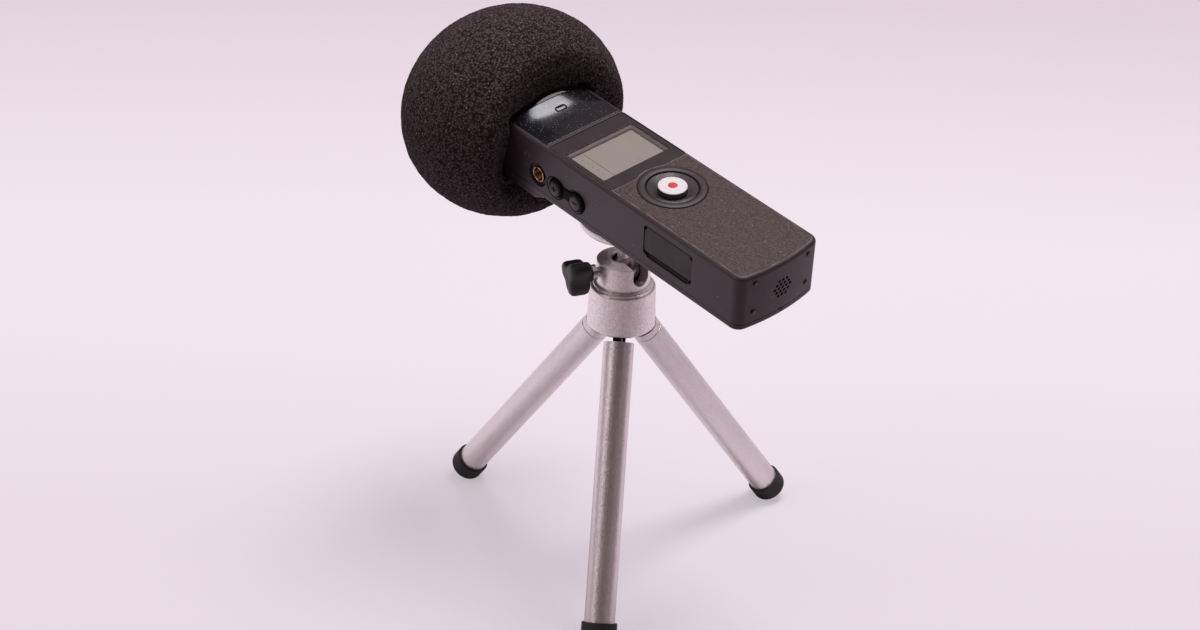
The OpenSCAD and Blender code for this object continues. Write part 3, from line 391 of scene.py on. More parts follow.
LOOKS = {
    "case_plastic": case_plastic(),
    "gloss_black": glossy("gloss_black", 120.0, (0.010, 0.009, 0.010), (0.020, 0.017, 0.019),
                          dots=(700.0, 0.25, 0.12), dust=(0.26, 0.24, 0.25),
                          grain=(900.0, 2.0), depth=0.000005, rough=(0.14, 0.24)),
    "clear_window": clear_window(),
    "display": moulded("display", (0.42, 0.42, 0.375), (0.45, 0.448, 0.40), patches=(55.0, 3.0),
                       grain=(2600.0, 1.0), depth=0.000008, edge=EDGE_MID,
                       rough_scale=90.0, rough=(0.55, 0.65), shine=0.2),
    "button_white": moulded("button_white", (0.90, 0.90, 0.93), (0.96, 0.955, 0.98), patches=(260.0, 4.0),
                            grain=(3000.0, 2.0), depth=0.000008, edge=EDGE_SOFT,
                            rough_scale=300.0, rough=(0.3, 0.42)),
    "dot_red": moulded("dot_red", (0.72, 0.055, 0.045), (0.86, 0.10, 0.075), patches=(700.0, 3.0),
                       grain=(3000.0, 2.0), depth=0.000006, edge=EDGE_MID,
                       rough_scale=500.0, rough=(0.25, 0.4)),
    "lamp": moulded("lamp", (0.035, 0.030, 0.032), (0.07, 0.055, 0.057), patches=(800.0, 3.0),
                    grain=(1500.0, 1.0), depth=0.00001, edge=EDGE_SOFT,
                    rough_scale=600.0, rough=(0.1, 0.2)),
    "gold_plate": metal("gold_plate", (0.80, 0.55, 0.32), (0.92, 0.68, 0.44), 0.12, (900.0, 900.0, 900.0)),
    "black_plastic": grained("black_plastic", (0.013, 0.011, 0.0105), (0.022, 0.019, 0.018), 0.42,
                             grain=4200.0, depth=0.00002),
    "bright_steel": metal("bright_steel", (0.52, 0.51, 0.52), (0.68, 0.67, 0.68), 0.24,
                          (400.0, 3000.0, 400.0)),
    "board_green": grained("board_green", (0.02, 0.13, 0.06), (0.04, 0.2, 0.1), 0.3,
                           grain=3000.0, depth=0.00002),
    "cell_wrap": grained("cell_wrap", (0.12, 0.2, 0.19), (0.2, 0.3, 0.28), 0.22,
                         grain=1200.0, depth=0.00001),
    "foam": foam_look(),
    "rubber": grained("rubber", (0.013, 0.012, 0.012), (0.024, 0.021, 0.021), 0.56,
                      grain=2600.0, depth=0.00005),
    "silver_paint": silver_paint("silver_paint", (0.80, 0.755, 0.765), (0.84, 0.795, 0.805)),
}

# Second materials inside a slot, for printed, worn and polished stretches, and for painted shade and painted
# highlights
PANEL_BLACK = glossy("panel_black", 120.0, (0.028, 0.0235, 0.026), (0.036, 0.030, 0.033),
                     dots=(600.0, 0.30, 0.12), dust=(0.30, 0.28, 0.29),
                     grain=(900.0, 2.0), depth=0.000004, rough=(0.24, 0.34))
BROW_GLOSS = glossy("brow_gloss", 150.0, (0.009, 0.0095, 0.012), (0.015, 0.0155, 0.019),
                    dots=(1250.0, 0.45, 0.30), dust=(0.16, 0.16, 0.175),
                    grain=(1900.0, 3.0), depth=0.000011, rough=(0.11, 0.18), tint=(0.90, 0.95, 1.0))
CASE_FRONT = case_front()
WORN_AND_HIGHLIT_EDGE = worn_and_highlit_edge()
DISH_GLOSS = dish_gloss()
CARD_BLACK = plain("card_black", (0.014, 0.0105, 0.0115), (0.021, 0.016, 0.017), 0.4, shine=0.38)
# Grey frame round the display: painted shade from the window's recess
DISPLAY_FRAME_SHADE = plain("display_frame_shade", (0.20, 0.165, 0.18), (0.235, 0.195, 0.21), 0.5)
DISPLAY_MARK = plain("display_mark", (0.07, 0.06, 0.052), (0.10, 0.088, 0.078), 0.5)
# Near black for dark gaps, signs and steps, and painted shade on the rockers
SEAM_AND_SHADE_BLACK = plain("seam_and_shade_black", (0.0035, 0.003, 0.0035), (0.006, 0.005, 0.0055), 0.6, shine=0.08)
# Grey of the printed signs, also a painted highlight on the display panel's lip
PRINT_AND_HIGHLIGHT_GREY = plain("print_and_highlight_grey", (0.11, 0.10, 0.105), (0.16, 0.145, 0.15), 0.5)
# Dark for the record button's sides: painted shade under its white top
BUTTON_WALL_SHADE = plain("button_wall_shade", (0.026, 0.019, 0.019), (0.038, 0.029, 0.029), 0.35)
# Pale pink: a painted highlight on the microphone cage's edge
TRIM_HIGHLIGHT_PINK = plain("trim_highlight_pink", (0.74, 0.65, 0.66), (0.84, 0.75, 0.76), 0.25)
# Dark copper: painted shade inside the jacks' countersinks and bores
SHADED_COPPER = metal("shaded_copper", (0.20, 0.095, 0.04), (0.34, 0.17, 0.08), 0.22, (900.0, 900.0, 900.0))
# Dark polished metal for the stand's ball: its dark tone is painted shade of the socket and of the case above
# it
SHADED_POLISHED = metal("shaded_polished_metal", (0.16, 0.145, 0.14), (0.26, 0.24, 0.235), 0.10, (700.0, 700.0, 700.0))
HEAD_PAINT = silver_paint("head_paint", (0.755, 0.71, 0.72), (0.885, 0.84, 0.85))

NODE_LOOKS = {
    "case_plastic": "front_case rear_case battery_door card_door mic_cage",
    "gloss_black": "window_panel rec_bezel end_feet",
    "clear_window": "lcd_lens",
    "display": "lcd_module",
    "button_white": "rec_button",
    "dot_red": "rec_dot",
    "lamp": "peak_lamp",
    "gold_plate": "phones_ring line_ring",
    "black_plastic": "volume_rocker level_rocker play_key rewind_key forward_key delete_key power_switch "
                     "low_cut_switch auto_level_switch format_switch phones_jack line_jack mic_mount "
                     "lock_knob leg_base ball_seat front_hinge right_hinge left_hinge memory_card",
    "bright_steel": "usb_socket card_socket battery_contacts speaker thread_bush left_capsule right_capsule "
                    "case_screws leg_pins lock_screw",
    "board_green": "main_board",
    "cell_wrap": "battery",
    "rubber": "camera_pad front_foot right_foot left_foot",
    "silver_paint": "tripod_head ball_stud front_leg right_leg left_leg",
}

for slot, names in NODE_LOOKS.items():
    for name in names.split():
        mesh = frame["nodes"][name].data
        mesh.materials.clear()
        mesh.materials.append(LOOKS[slot])


def repaint(node, material, chosen=None):
    """Gives another material to a node, or to its faces that chosen picks by middle and normal."""
    mesh = frame["nodes"][node].data
    mesh.materials.append(material)
    for face in mesh.polygons:
        if chosen is None or chosen(in_recorder(face.center), TO_REC[:3, :3] @ np.array(face.normal)):
            face.material_index = len(mesh.materials) - 1


def on_front(at, normal):
    faces_up, near = 0.97, 0.1
    return normal[2] > faces_up and at[2] > FRONT_Z - near


def outside_dish(at, normal):
    near = 0.05
    return np.hypot(*(at - REC_MID)[:2]) > DISH_R - near


def button_side(at, normal):
    slanted = 0.3
    return normal[2] < slanted


def on_ball(at, normal):
    return np.linalg.norm(at - BALL_MID) < BALL_R


repaint("front_case", CASE_FRONT, on_front)
repaint("card_door", CARD_BLACK)
# The rockers are painted near black all over, darker than black plastic, as painted shade on their walls
# round the pads
repaint("volume_rocker", SEAM_AND_SHADE_BLACK)
repaint("level_rocker", SEAM_AND_SHADE_BLACK)
repaint("window_panel", PANEL_BLACK)
repaint("rec_bezel", DISH_GLOSS)
repaint("rec_bezel", LOOKS["case_plastic"], outside_dish)
# The button's sides are painted dark as the shade under its white top
repaint("rec_button", BUTTON_WALL_SHADE, button_side)
repaint("tripod_head", HEAD_PAINT)
# The ball is dark: painted shade in the head's socket
repaint("ball_stud", SHADED_POLISHED, on_ball)


# Pieces

def piece(name, verts, faces, body, slot, smooth=True, closed=True, look=None):
    """A mesh piece in the part's frame, riding on a body with a slot's material or one of its second ones."""
    mesh = bpy.data.meshes.new(name)
    mesh.from_pydata([tuple(v) for v in verts], [], faces)
    mesh.validate()
    if closed:
        work = bmesh.new()
        work.from_mesh(mesh)
        bmesh.ops.recalc_face_normals(work, faces=work.faces)
        work.to_mesh(mesh)
        work.free()
    if smooth:
        mesh.shade_smooth()
    mesh.materials.append(look or LOOKS[slot])
    made = new_object(name, mesh)
    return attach(made, body)


def band(low, high, n):
    """Faces between two rings of n points, each given by its first point."""
    return [(low + i, low + (i + 1) % n, high + (i + 1) % n, high + i) for i in range(n)]


def stack(n, rings, first=0):
    """Faces of a closed body of rings of n points, one over the other."""
    last = first + (rings - 1) * n
    faces = [tuple(range(first + n - 1, first - 1, -1)), tuple(range(last, last + n))]
    for low in range(first, last, n):
        faces += band(low, low + n, n)
    return faces


def full_turn(count):
    return np.linspace(0, 2 * math.pi, count, endpoint=False)


def rounded_rect_at(angle, half_w, half_h, radius):
    """Where a ray at an angle leaves a rectangle with round corners."""
    c, s = math.cos(angle), math.sin(angle)
    reach = min(half_w / max(abs(c), 1e-9), half_h / max(abs(s), 1e-9))
    x, y = reach * c, reach * s
    over_x, over_y = abs(x) - (half_w - radius), abs(y) - (half_h - radius)
    if over_x > 0 and over_y > 0:
        cx, cy = math.copysign(half_w - radius, c), math.copysign(half_h - radius, s)
        along = cx * c + cy * s
        reach = along + math.sqrt(max(radius * radius - (cx * cx + cy * cy - along * along), 0))
        x, y = reach * c, reach * s
    return x, y


def windscreen():
    """The foam ball: rings from its far pole to the lip, down a funnel to the head and up its pocket."""
    radius, past_mm, middle_z = 39.3, 137.0, 9.3
    wide, long, tall = 1.070, 0.963, 0.962
    top_back = 4.5
    cut, lip = 24.0, 7.0
    funnel, side_funnel, turn_in = 5.6, 0.4, 2.6
    pocket_gap, corner = 0.25, 2.0
    pocket_stops = (-11.0, -6.0, -0.5)
    around, ball_rows, lip_rows, funnel_rows, turn_rows = 400, 190, 16, 20, 8
    cage_low, cage_high = rec_box("mic_cage")
    head_half_w = HALF_W + pocket_gap
    head_half_h = (cage_high[2] - cage_low[2]) / 2 + pocket_gap
    head_mid = (cage_low[2] + cage_high[2]) / 2
    angles = [2 * math.pi * i / around for i in range(around)]
    lip_y = lip - cut
    lip_x = math.sqrt((radius - lip) ** 2 - lip_y ** 2)
    meet = math.atan2(lip_y, lip_x)
    mouth_y = past_mm - long * cut
    rows = []

    def ring(r, y):
        """A ring of the squeezed ball; near the opening its top lies further back."""
        back = top_back * min(max(-y / cut, 0.0), 1.0) ** 2
        rows.append([(wide * r * math.cos(a), past_mm + long * y + back * max(math.sin(a), 0.0) ** 2,
                      middle_z + tall * r * math.sin(a)) for a in angles])

    for i in range(1, ball_rows):
        a = math.pi / 2 + (meet - math.pi / 2) * i / ball_rows
        ring(radius * math.cos(a), radius * math.sin(a))
    for i in range(lip_rows):
        a = meet + (-math.pi / 2 - meet) * i / (lip_rows - 1)
        ring(lip_x + lip * math.cos(a), lip_y + lip * math.sin(a))
    # The opening lies furthest out at the upper corners of the case
    level, gain = 0.5, 1.2
    upper = [math.cos(a) ** 2 * min(max(level + gain * math.sin(a), 0.0), 1.0) for a in angles]
    depths = [funnel + (side_funnel - funnel) * share for share in upper]

    def mouth(out):
        return [rounded_rect_at(a, head_half_w + out, head_half_h + out, corner + out) for a in angles]

    pocket, edge = mouth(0.0), mouth(turn_in)
    for i in range(1, funnel_rows + 1):
        t = i / funnel_rows
        drop = t * t * (3 - 2 * t)
        row = []
        for a, (x, z), depth in zip(angles, edge, depths):
            back = (1 - t) * top_back * max(math.sin(a), 0.0) ** 2
            row.append(((1 - t) * wide * lip_x * math.cos(a) + t * x, mouth_y + back + drop * depth,
                        (1 - t) * (middle_z + tall * lip_x * math.sin(a)) + t * (head_mid + z)))
        rows.append(row)
    for i in range(1, turn_rows + 1):
        a = math.pi / 2 * i / turn_rows
        t = math.sin(a)
        row = []
        for (x0, z0), (x1, z1), depth in zip(edge, pocket, depths):
            row.append((x0 + (x1 - x0) * t, mouth_y + depth + turn_in * (1 - math.cos(a)),
                        head_mid + z0 + (z1 - z0) * t))
        rows.append(row)
    for y in pocket_stops:
        rows.append([(x, past_mm + y, head_mid + z) for x, z in pocket])

    verts = [(0.0, past_mm + long * radius, middle_z)] + [v for row in rows for v in row]
    verts.append((0.0, past_mm + pocket_stops[-1], head_mid))
    faces = [(0, 1 + i, 1 + (i + 1) % around) for i in range(around)]
    for k in range(len(rows) - 1):
        faces += [(a, d, c, b) for a, b, c, d in band(1 + k * around, 1 + (k + 1) * around, around)]
    last, end = 1 + (len(rows) - 1) * around, len(verts) - 1
    faces += [(end, last + (i + 1) % around, last + i) for i in range(around)]

    made = piece("foam_windscreen", on_recorder(verts), faces, "windscreen", "foam")
    roughen(made.data, np.hypot(*np.array(verts).T[[0, 2]] - [[0.0], [middle_z]]))
    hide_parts("windscreen")
    return made


def roughen(mesh, from_axis):
    """Lumps and grain on the foam. Its rings crowd at the far pole, so the grain fades out there."""
    lump_scale, lump, grain_depth, grain_limit, fade = 260, 0.00018, 0.00007, 1.6, 12.0
    mesh.update()
    co = np.array([v.co for v in mesh.vertices])
    normal = np.array([v.normal for v in mesh.vertices])
    lumps = np.array([noise.noise(Vector(p * lump_scale)) for p in co])
    grain = np.random.default_rng(5).normal(0.0, 1.0, len(co)) * np.clip(from_axis / fade, 0.0, 1.0)
    co += normal * (lumps * lump + np.clip(grain, -grain_limit, grain_limit) * grain_depth)[:, None]
    mesh.vertices.foreach_set("co", co.ravel())
    mesh.update()


def raised(name, outlines, plane, height, body, slot, taper=0.05, look=None):
    """Flat signs that stand out of a surface: each outline is a closed line in the plane's X and Y."""
    verts, faces = [], []
    for outline in outlines:
        points = np.array(outline, float)
        centre = points.mean(0)
        size = np.abs(points - centre).max()
        top = centre + (points - centre) * (1 - min(taper / size, 0.5))
        faces += stack(len(points), 2, first=len(verts))
        verts += [(x, y, 0.0) for x, y in points] + [(x, y, height) for x, y in top]
    placed = [plane @ Vector(v) for v in verts]
    return piece(name, on_recorder(placed), faces, body, slot, smooth=False, look=look)


def bar(cx, cy, w, h):
    """A rectangle by its middle, width and height."""
    return [(cx + x * w / 2, cy + y * h / 2) for x, y in ((-1, -1), (1, -1), (1, 1), (-1, 1))]


def facing(origin, x_axis, y_axis):
    """A plane in the recorder's frame, given by its origin and the directions of its X and Y."""
    x, y = Vector(x_axis).normalized(), Vector(y_axis).normalized()
    return axes(x, y, x.cross(y), origin)


def front_plane(at, z):
    """A plane that lies like the front face, through a point at a height."""
    return facing((at[0], at[1], z), (1, 0, 0), (0, 1, 0))


def side_plane(side, x, y, z):
    """A plane on the left (-1) or right (1) side that faces outwards: X runs along the case, Y up."""
    return facing((x, y, z), (0, side, 0), (0, 0, 1))


def circle(radius, count=120):
    return [(radius * math.cos(a), radius * math.sin(a)) for a in full_turn(count)]


def rounded_loop(half_w, half_h, radius, count=240):
    return [rounded_rect_at(a, half_w, half_h, radius) for a in full_turn(count)]


def outline_of(node, level=None):
    """The outer edge of a node's face at a level, or its top, as a closed line in the recorder's X and Y."""
    flat = 0.005
    key = [tuple(p.round(3)) for p in corners_of(node)]
    top = level or max(p[2] for p in key)
    sides = set()
    for face in frame["nodes"][node].data.polygons:
        corners = [key[i] for i in face.vertices]
        if all(abs(top - c[2]) < flat for c in corners):
            sides.update((a, b) for a, b in zip(corners, corners[1:] + corners[:1]))
    after = {a: b for a, b in sides if (b, a) not in sides}
    loops = []
    while after:
        start, point = next(iter(after.items()))
        loop = [start]
        del after[start]
        while point != start:
            loop.append(point)
            point = after.pop(point)
        loops.append([p[:2] for p in loop])
    return max(loops, key=lambda loop: np.ptp(loop, axis=0).sum())


def grown(loop, by):
    """A closed line moved outwards."""
    sharpest = 0.5
    points = np.array(loop, float)
    after = np.roll(points, -1, 0)
    if np.dot(points[:, 0], after[:, 1]) < np.dot(points[:, 1], after[:, 0]):
        points = points[::-1]
    ahead = np.roll(points, -1, 0) - points
    ahead /= np.linalg.norm(ahead, axis=1)[:, None]
    out_next = np.stack([ahead[:, 1], -ahead[:, 0]], 1)
    out = out_next + np.roll(out_next, 1, 0)
    out /= np.linalg.norm(out, axis=1)[:, None]
    share = np.maximum((out * out_next).sum(1), sharpest)
    return points + out * (by / share)[:, None]


def hoop(name, loop, section, plane, body, slot, look=None, smooth=True):
    """A ring that follows a closed line: its section is a closed line of (outward, height) points."""
    rows = [[(x, y, h) for x, y in grown(loop, out)] for out, h in section]
    n, m = len(rows[0]), len(rows)
    verts = [plane @ Vector(v) for row in rows for v in row]
    faces = [face for k in range(m) for face in band(k * n, (k + 1) % m * n, n)]
    return piece(name, on_recorder(verts), faces, body, slot, smooth=smooth, look=look)


def seam(name, loop, inner, outer, low, high, plane):
    """A flat dark line round a closed line, between two offsets from it and two heights."""
    section = [(inner, low), (outer, low), (outer, high), (inner, high)]
    hoop(name, loop, section, plane, "recorder", "black_plastic", SEAM_AND_SHADE_BLACK, smooth=False)


def slab(name, loop, plane, low, high, body, slot, look=None, crown=0.0):
    """A plate between two heights with a closed line as its edge; crown lifts the middle of its top."""
    shares = (1.0, 0.97, 0.8, 0.5, 0.2)
    points = np.array(loop, float)
    verts = [(x, y, low) for x, y in points]
    for share in shares:
        verts += [(x * share, y * share, high + crown * (1 - share * share)) for x, y in points]
    placed = [plane @ Vector(v) for v in verts]
    faces = stack(len(points), len(shares) + 1)
    return piece(name, on_recorder(placed), faces, body, slot, smooth=crown > 0, look=look)


def outer_x(side, low, high):
    """The X of a box on the left (-1) or right (1)."""
    return low[0] if side < 0 else high[0]


def rockers():
    """Each rocker with its side, outer face and middle, and its pads with their places along the case."""
    for node, side in (("volume_rocker", -1), ("level_rocker", 1)):
        low, high = rec_box(node)
        pads = (("less", low[1] + PAD_R), ("more", high[1] - PAD_R))
        yield node, side, outer_x(side, low, high), middle(node), pads


def rocker_signs():
    """Round caps on the rockers' pads, set off towards the microphones, with their signs. The caps are paler
    than the rockers, so the rockers' black shows as a crescent of painted shade beside each cap.
    """
    cap_r, cap_t, cap_edge, along, down = 2.75, 0.12, 0.02, 0.4, 0.28
    sign_len, sign_w, sign_t = 2.3, 0.6, 0.06
    for node, side, face, mid, pads in rockers():
        for name, y in pads:
            plane = side_plane(side, face, y + along, mid[2] - down)
            slab(f"{node}_{name}_cap", circle(cap_r, count=60), plane, -SUNK, cap_edge, node, "case_plastic",
                 crown=cap_t)
            bars = [bar(0, 0, sign_len, sign_w)]
            if name == "more":
                bars.append(bar(0, 0, sign_w, sign_len))
            raised(f"{node}_{name}_sign", bars, plane, cap_t + sign_t, node, "gloss_black", look=SEAM_AND_SHADE_BLACK)


def rocker_arcs():
    """Engraved finger lines beside the rockers' pads, on the side away from the bottom end."""
    ring_r, line, along, down, sunk, proud = 4.1, 0.5, 0.75, 0.5, 0.1, 0.012
    for node, side, face, mid, pads in rockers():
        wall = outer_x(side, CASE_LOW, CASE_HIGH)
        for name, y in pads:
            plane = side_plane(side, wall, y + along, mid[2] - down)
            seam(f"{node}_{name}_line", circle(ring_r), 0, line, -sunk, proud, plane)


def triangle(x, size, way):
    """A triangle that points along X (1) or against it (-1)."""
    return [(x - way * size / 2, -size / 2), (x + way * size / 2, 0), (x - way * size / 2, size / 2)][::way]


def printed(name, shapes, plane, height, body):
    """Printed signs on the case or its keys."""
    raised(name, shapes, plane, height, body, "case_plastic", taper=0.02, look=PRINT_AND_HIGHLIGHT_GREY)


def key_signs():
    """Plain transport signs on the right side's keys: X of their plane runs towards the microphones."""
    sunk, height = 0.02, 0.07
    signs = {
        "rewind_key": [triangle(-0.5, 1.1, -1), triangle(0.6, 1.1, -1)],
        "play_key": [triangle(-0.7, 1.3, 1), bar(0.45, 0, 0.3, 1.2), bar(1.0, 0, 0.3, 1.2)],
        "forward_key": [triangle(-0.6, 1.1, 1), triangle(0.5, 1.1, 1)],
        "delete_key": [bar(0, 0.6, 1.4, 0.25), bar(-0.45, -0.15, 0.2, 1.0), bar(0.45, -0.15, 0.2, 1.0),
                       bar(0, -0.75, 1.1, 0.2)],
    }
    for node, shapes in signs.items():
        plane = side_plane(1, rec_box(node)[1][0] - sunk, middle(node)[1], middle(node)[2])
        printed(f"{node}_sign", shapes, plane, height, node)


def arc(radius, width, start, end, count=14):
    """A bent bar as a closed line."""
    turn = np.linspace(start, end, count)
    outer = [(radius * math.cos(a), radius * math.sin(a)) for a in turn]
    inner = [((radius - width) * math.cos(a), (radius - width) * math.sin(a)) for a in turn[::-1]]
    return outer + inner


def phones_sign():
    """Headphone sign above the jack on the left side."""
    up, along, sunk, height = 5.4, 5.6, 0.02, 0.05
    bow_r, bow_w, cup_x, cup_y, cup_w, cup_h = 1.3, 0.25, 1.15, -0.35, 0.5, 0.9
    jack = middle("phones_ring")
    plane = side_plane(-1, CASE_LOW[0] + sunk, jack[1] + along, jack[2] + up)
    cups = [bar(x, cup_y, cup_w, cup_h) for x in (-cup_x, cup_x)]
    printed("phones_sign", [arc(bow_r, bow_w, math.pi, 0), *cups], plane, height, "recorder")


def level_marks():
    """Plain rising marks over each rocker."""
    along, up, sunk, height = 0.6, 5.6, 0.02, 0.04
    first, pitch, count, width, least, growth = -3.2, 1.6, 5, 0.3, 0.5, 0.22
    for node, side, face, mid, pads in rockers():
        wall = outer_x(side, CASE_LOW, CASE_HIGH)
        plane = side_plane(side, wall - side * sunk, mid[1] + along, mid[2] + up)
        shapes = [bar(first + pitch * i, 0, width, least + growth * i) for i in range(count)]
        printed(f"{node}_scale", shapes, plane, height, "recorder")


def display_pieces():
    """The clear plate, the grey frame round the display and the faint marks on it. The frame's grey, darker
    than the display, is painted shade from the window's recess.
    """
    clear, plate, corner, frame_w, frame_t = 0.02, 0.35, 0.55, 1.1, 0.08
    rule_in, rule_w, rule_short = 5.4, 0.16, 0.8
    dash_in, dash_shift, dash_top, dash_pitch, dash_w, dash_h, dashes = 2.6, 0.3, 5.6, 2.6, 0.7, 0.22, 5
    lens_low, lens_high = rec_box("lcd_lens")
    half = (lens_high - lens_low) / 2
    top = lens_high[2]
    face = rec_box("lcd_module")[1][2] + clear
    plane = front_plane(middle("lcd_lens"), 0)
    loop = rounded_loop(half[0], half[1], corner)
    window = slab("display_window", loop, plane, top - plate, top, "recorder", "clear_window")
    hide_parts("lcd_lens")
    section = [(-clear, top - plate - clear), (-clear, face), (-frame_w, face), (-frame_w, face + frame_t)]
    hoop("display_border", loop, section, plane, "recorder", "display", DISPLAY_FRAME_SHADE)
    rule_x = -half[0] + frame_w + rule_in
    marks = [bar(rule_x, 0, rule_w, 2 * half[1] - 2 * frame_w - rule_short)]
    for i in range(dashes):
        marks.append(bar(rule_x - dash_in + dash_shift * (i % 2), dash_top - dash_pitch * i, dash_w, dash_h))
    raised("display_marks", marks, front_plane(middle("lcd_lens"), face), clear, "recorder", "display",
           taper=0.01, look=DISPLAY_MARK)


def panel_seams():
    """The dark gap round the display panel and the fine raised lip outside it, whose pale grey is a painted
    highlight.
    """
    inner, gap, proud = -0.1, 0.24, 0.012
    loop = outline_of("window_panel")
    plane = front_plane((0, 0), FRONT_Z)
    seam("panel_gap", loop, inner, gap, -SUNK, proud, plane)
    lip = [(gap, -SUNK), (0.46, -SUNK), (0.44, 0.04), (0.35, 0.06), (0.26, 0.04)]
    hoop("panel_lip", loop, lip, plane, "recorder", "case_plastic", PRINT_AND_HIGHLIGHT_GREY)


def front_edge():
    """The pale line where the front turns into its round edge: rubbed wear and a painted highlight."""
    section = [(-0.14, -SUNK), (0.18, -SUNK), (0.15, 0.02), (0, 0.06), (-0.12, 0.02)]
    hoop("front_edge", outline_of("front_case", FRONT_Z), section, front_plane((0, 0), FRONT_Z), "recorder",
         "case_plastic", WORN_AND_HIGHLIT_EDGE)


def record_seams():
    """The dark gap outside the record button's rim and the dark step inside it."""
    inner, gap, proud = -0.1, 0.3, 0.015
    low, high = rec_box("rec_bezel")
    plane = front_plane(middle("rec_bezel"), FRONT_Z)
    seam("rim_gap", circle((high[0] - low[0]) / 2), inner, gap, -SUNK, proud, plane)
    step = [(0.05, 0.0), (0.05, 0.17), (-0.02, 0.17), (-0.5, -0.12), (-0.45, -0.3)]
    hoop("dish_step", circle(DISH_R), step, plane, "recorder", "black_plastic", SEAM_AND_SHADE_BLACK, smooth=False)


def brow_height(x, y):
    """Height of the brow over the front: an arch that climbs ever faster towards the microphones."""
    across = x / (HALF_W - EDGE_R)
    climb = min(max((y - CASE_END + BROW_LEN) / BROW_LEN, 0.0), 1.0)
    return BROW_RISE * climb ** BROW_CURVE * (1 - across * across)


def scoop_height(x, y):
    """Height of the glossy skin: a scoop up to a flat-topped crest, then a slope back to the case's end."""
    lift = 0.07
    length = BROW_LEN - CREST_BACK
    across = 1 - abs(x / (HALF_W - EDGE_R)) ** 3
    climb = min(max((y - CASE_END + BROW_LEN) / length, 0.0), 1.0)
    height = CREST_RISE * climb ** CREST_CURVE * across
    past = min(max((y - CASE_END + CREST_BACK) / CREST_BACK, 0.0), 1.0)
    height += past * (brow_height(x, CASE_END) - height)
    return max(height, brow_height(x, y)) + lift


def brow_skin():
    """Smooth glossy skin over the brow, with its border turned down into the case."""
    across, along = 96, 84
    side_in, start_in, end_in, turned_down = 0.05, 0.1, 0.02, 0.25
    half = HALF_W - EDGE_R - side_in
    xs = np.linspace(-half, half, across)
    ys = np.linspace(CASE_END - BROW_LEN + start_in, CASE_END - end_in, along)
    verts = [(x, y, FRONT_Z + scoop_height(x, y)) for y in ys for x in xs]
    faces = []
    for j in range(along - 1):
        faces += [(j * across + i, j * across + i + 1, (j + 1) * across + i + 1, (j + 1) * across + i)
                  for i in range(across - 1)]
    first = len(verts)
    border = [*range(across), *range(2 * across - 1, first, across)]
    border += [*range(first - 2, first - across - 1, -1), *range(first - 2 * across, 0, -across)]
    n = len(border)
    verts += [(verts[k][0], verts[k][1], verts[k][2] - turned_down) for k in border]
    faces += [(border[i], first + i, first + (i + 1) % n, border[(i + 1) % n]) for i in range(n)]
    piece("brow_skin", on_recorder(verts), faces, "recorder", "gloss_black", closed=False, look=BROW_GLOSS)


def stadium(length, width, count=16):
    """A closed line with two straight sides and round ends."""
    turn = np.linspace(-math.pi / 2, math.pi / 2, count)
    right = [(length / 2 - width / 2 + width / 2 * math.cos(a), width / 2 * math.sin(a)) for a in turn]
    return right + [(-x, -y) for x, y in right]


def peak_lamp():
    """The oval lamp in its dark gap, laid on the brow's slope."""
    length, width, down, step = 4.1, 1.6, 1.0, 0.5
    inner, gap, sunk, proud = -0.02, 0.42, 0.1, 0.12
    oval = stadium(length, width)
    x, y = middle("peak_lamp")[:2] - (0, down)
    slope = (scoop_height(0, y + step) - scoop_height(0, y - step)) / (2 * step)
    plane = facing((x, y, FRONT_Z + scoop_height(0, y)), (1, 0, 0), (0, 1, slope))
    dome = slab("lamp_dome", oval, plane, -0.2, 0.1, "recorder", "lamp", crown=0.05, look=BROW_GLOSS)
    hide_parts("peak_lamp")
    seam("lamp_gap", oval, inner, gap, -sunk, proud, plane)


def cage_edge_highlight():
    """The microphone cage's edge that shows as a crescent over the brow's crest, painted pale pink as a
    painted highlight.
    """
    start, end, count, rise, depth = -6.6, 8.0, 48, 0.5, 0.85
    crest = CASE_END - CREST_BACK + 0.05
    rows = []
    for t in np.linspace(-1, 1, count):
        x = (start + end) / 2 + (end - start) / 2 * t
        z = FRONT_Z + scoop_height(x, crest)
        share = 1 - t * t
        back = crest + 0.1 + depth * share
        # The section's corners: foot, front edge, top edge and the sunk end
        rows.append([(x, crest, z - 0.2), (x, crest + 0.05, z + 0.02), (x, back, z + 0.03 + rise * share),
                     (x, back + 0.4, z - 0.4)])
    verts = [v for row in rows for v in row]
    piece("cage_edge_highlight", on_recorder(verts), stack(4, count), "recorder", "bright_steel", smooth=False,
          look=TRIM_HIGHLIGHT_PINK)


def jack_sleeves():
    """Turned sleeves of the jacks: a thin lip, a wide countersink and the bore."""
    bore_r, mouth_r, lip, sink, count = 1.8, 2.35, 0.25, 2.6, 72
    for node, side in (("phones_ring", -1), ("line_ring", 1)):
        low, high = rec_box(node)
        outer = (high[1] - low[1]) / 2
        depth = high[0] - low[0]
        loop = circle(outer, count)
        plane = side_plane(side, outer_x(side, low, high), middle(node)[1], middle(node)[2])
        section = [(0, -depth), (0, -0.1), (-0.08, 0.0), (-lip, 0.0), (mouth_r - outer, -0.12),
                   (mouth_r - outer, -sink), (bore_r - outer, -sink - 0.1), (bore_r - outer, -depth)]
        # The countersink and the bore are darker copper than the lip, as painted shade inside the jack
        sleeve = hoop(f"{node}_turned", loop, section, plane, "recorder", "gold_plate", SHADED_COPPER)
        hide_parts(node)
        section = [(0.05, -0.1), (0.05, 0.03), (-0.08, 0.08), (-lip, 0.05), (-lip, -0.1)]
        hoop(f"{node}_lip", loop, section, plane, "recorder", "gold_plate")


def platform_rim():
    """The wide rim of the stand's platform, which shows under the case."""
    outer = 16.6
    section = [(-2.8, -4.9), (-0.8, -4.9), (-0.2, -4.6), (0, -4.0), (0, -2.5), (-0.3, -2.1), (-2.8, -2.0)]
    hoop("platform_rim", circle(outer), section, front_plane((0, THREAD_Y_MM), 0), "ball", "silver_paint")


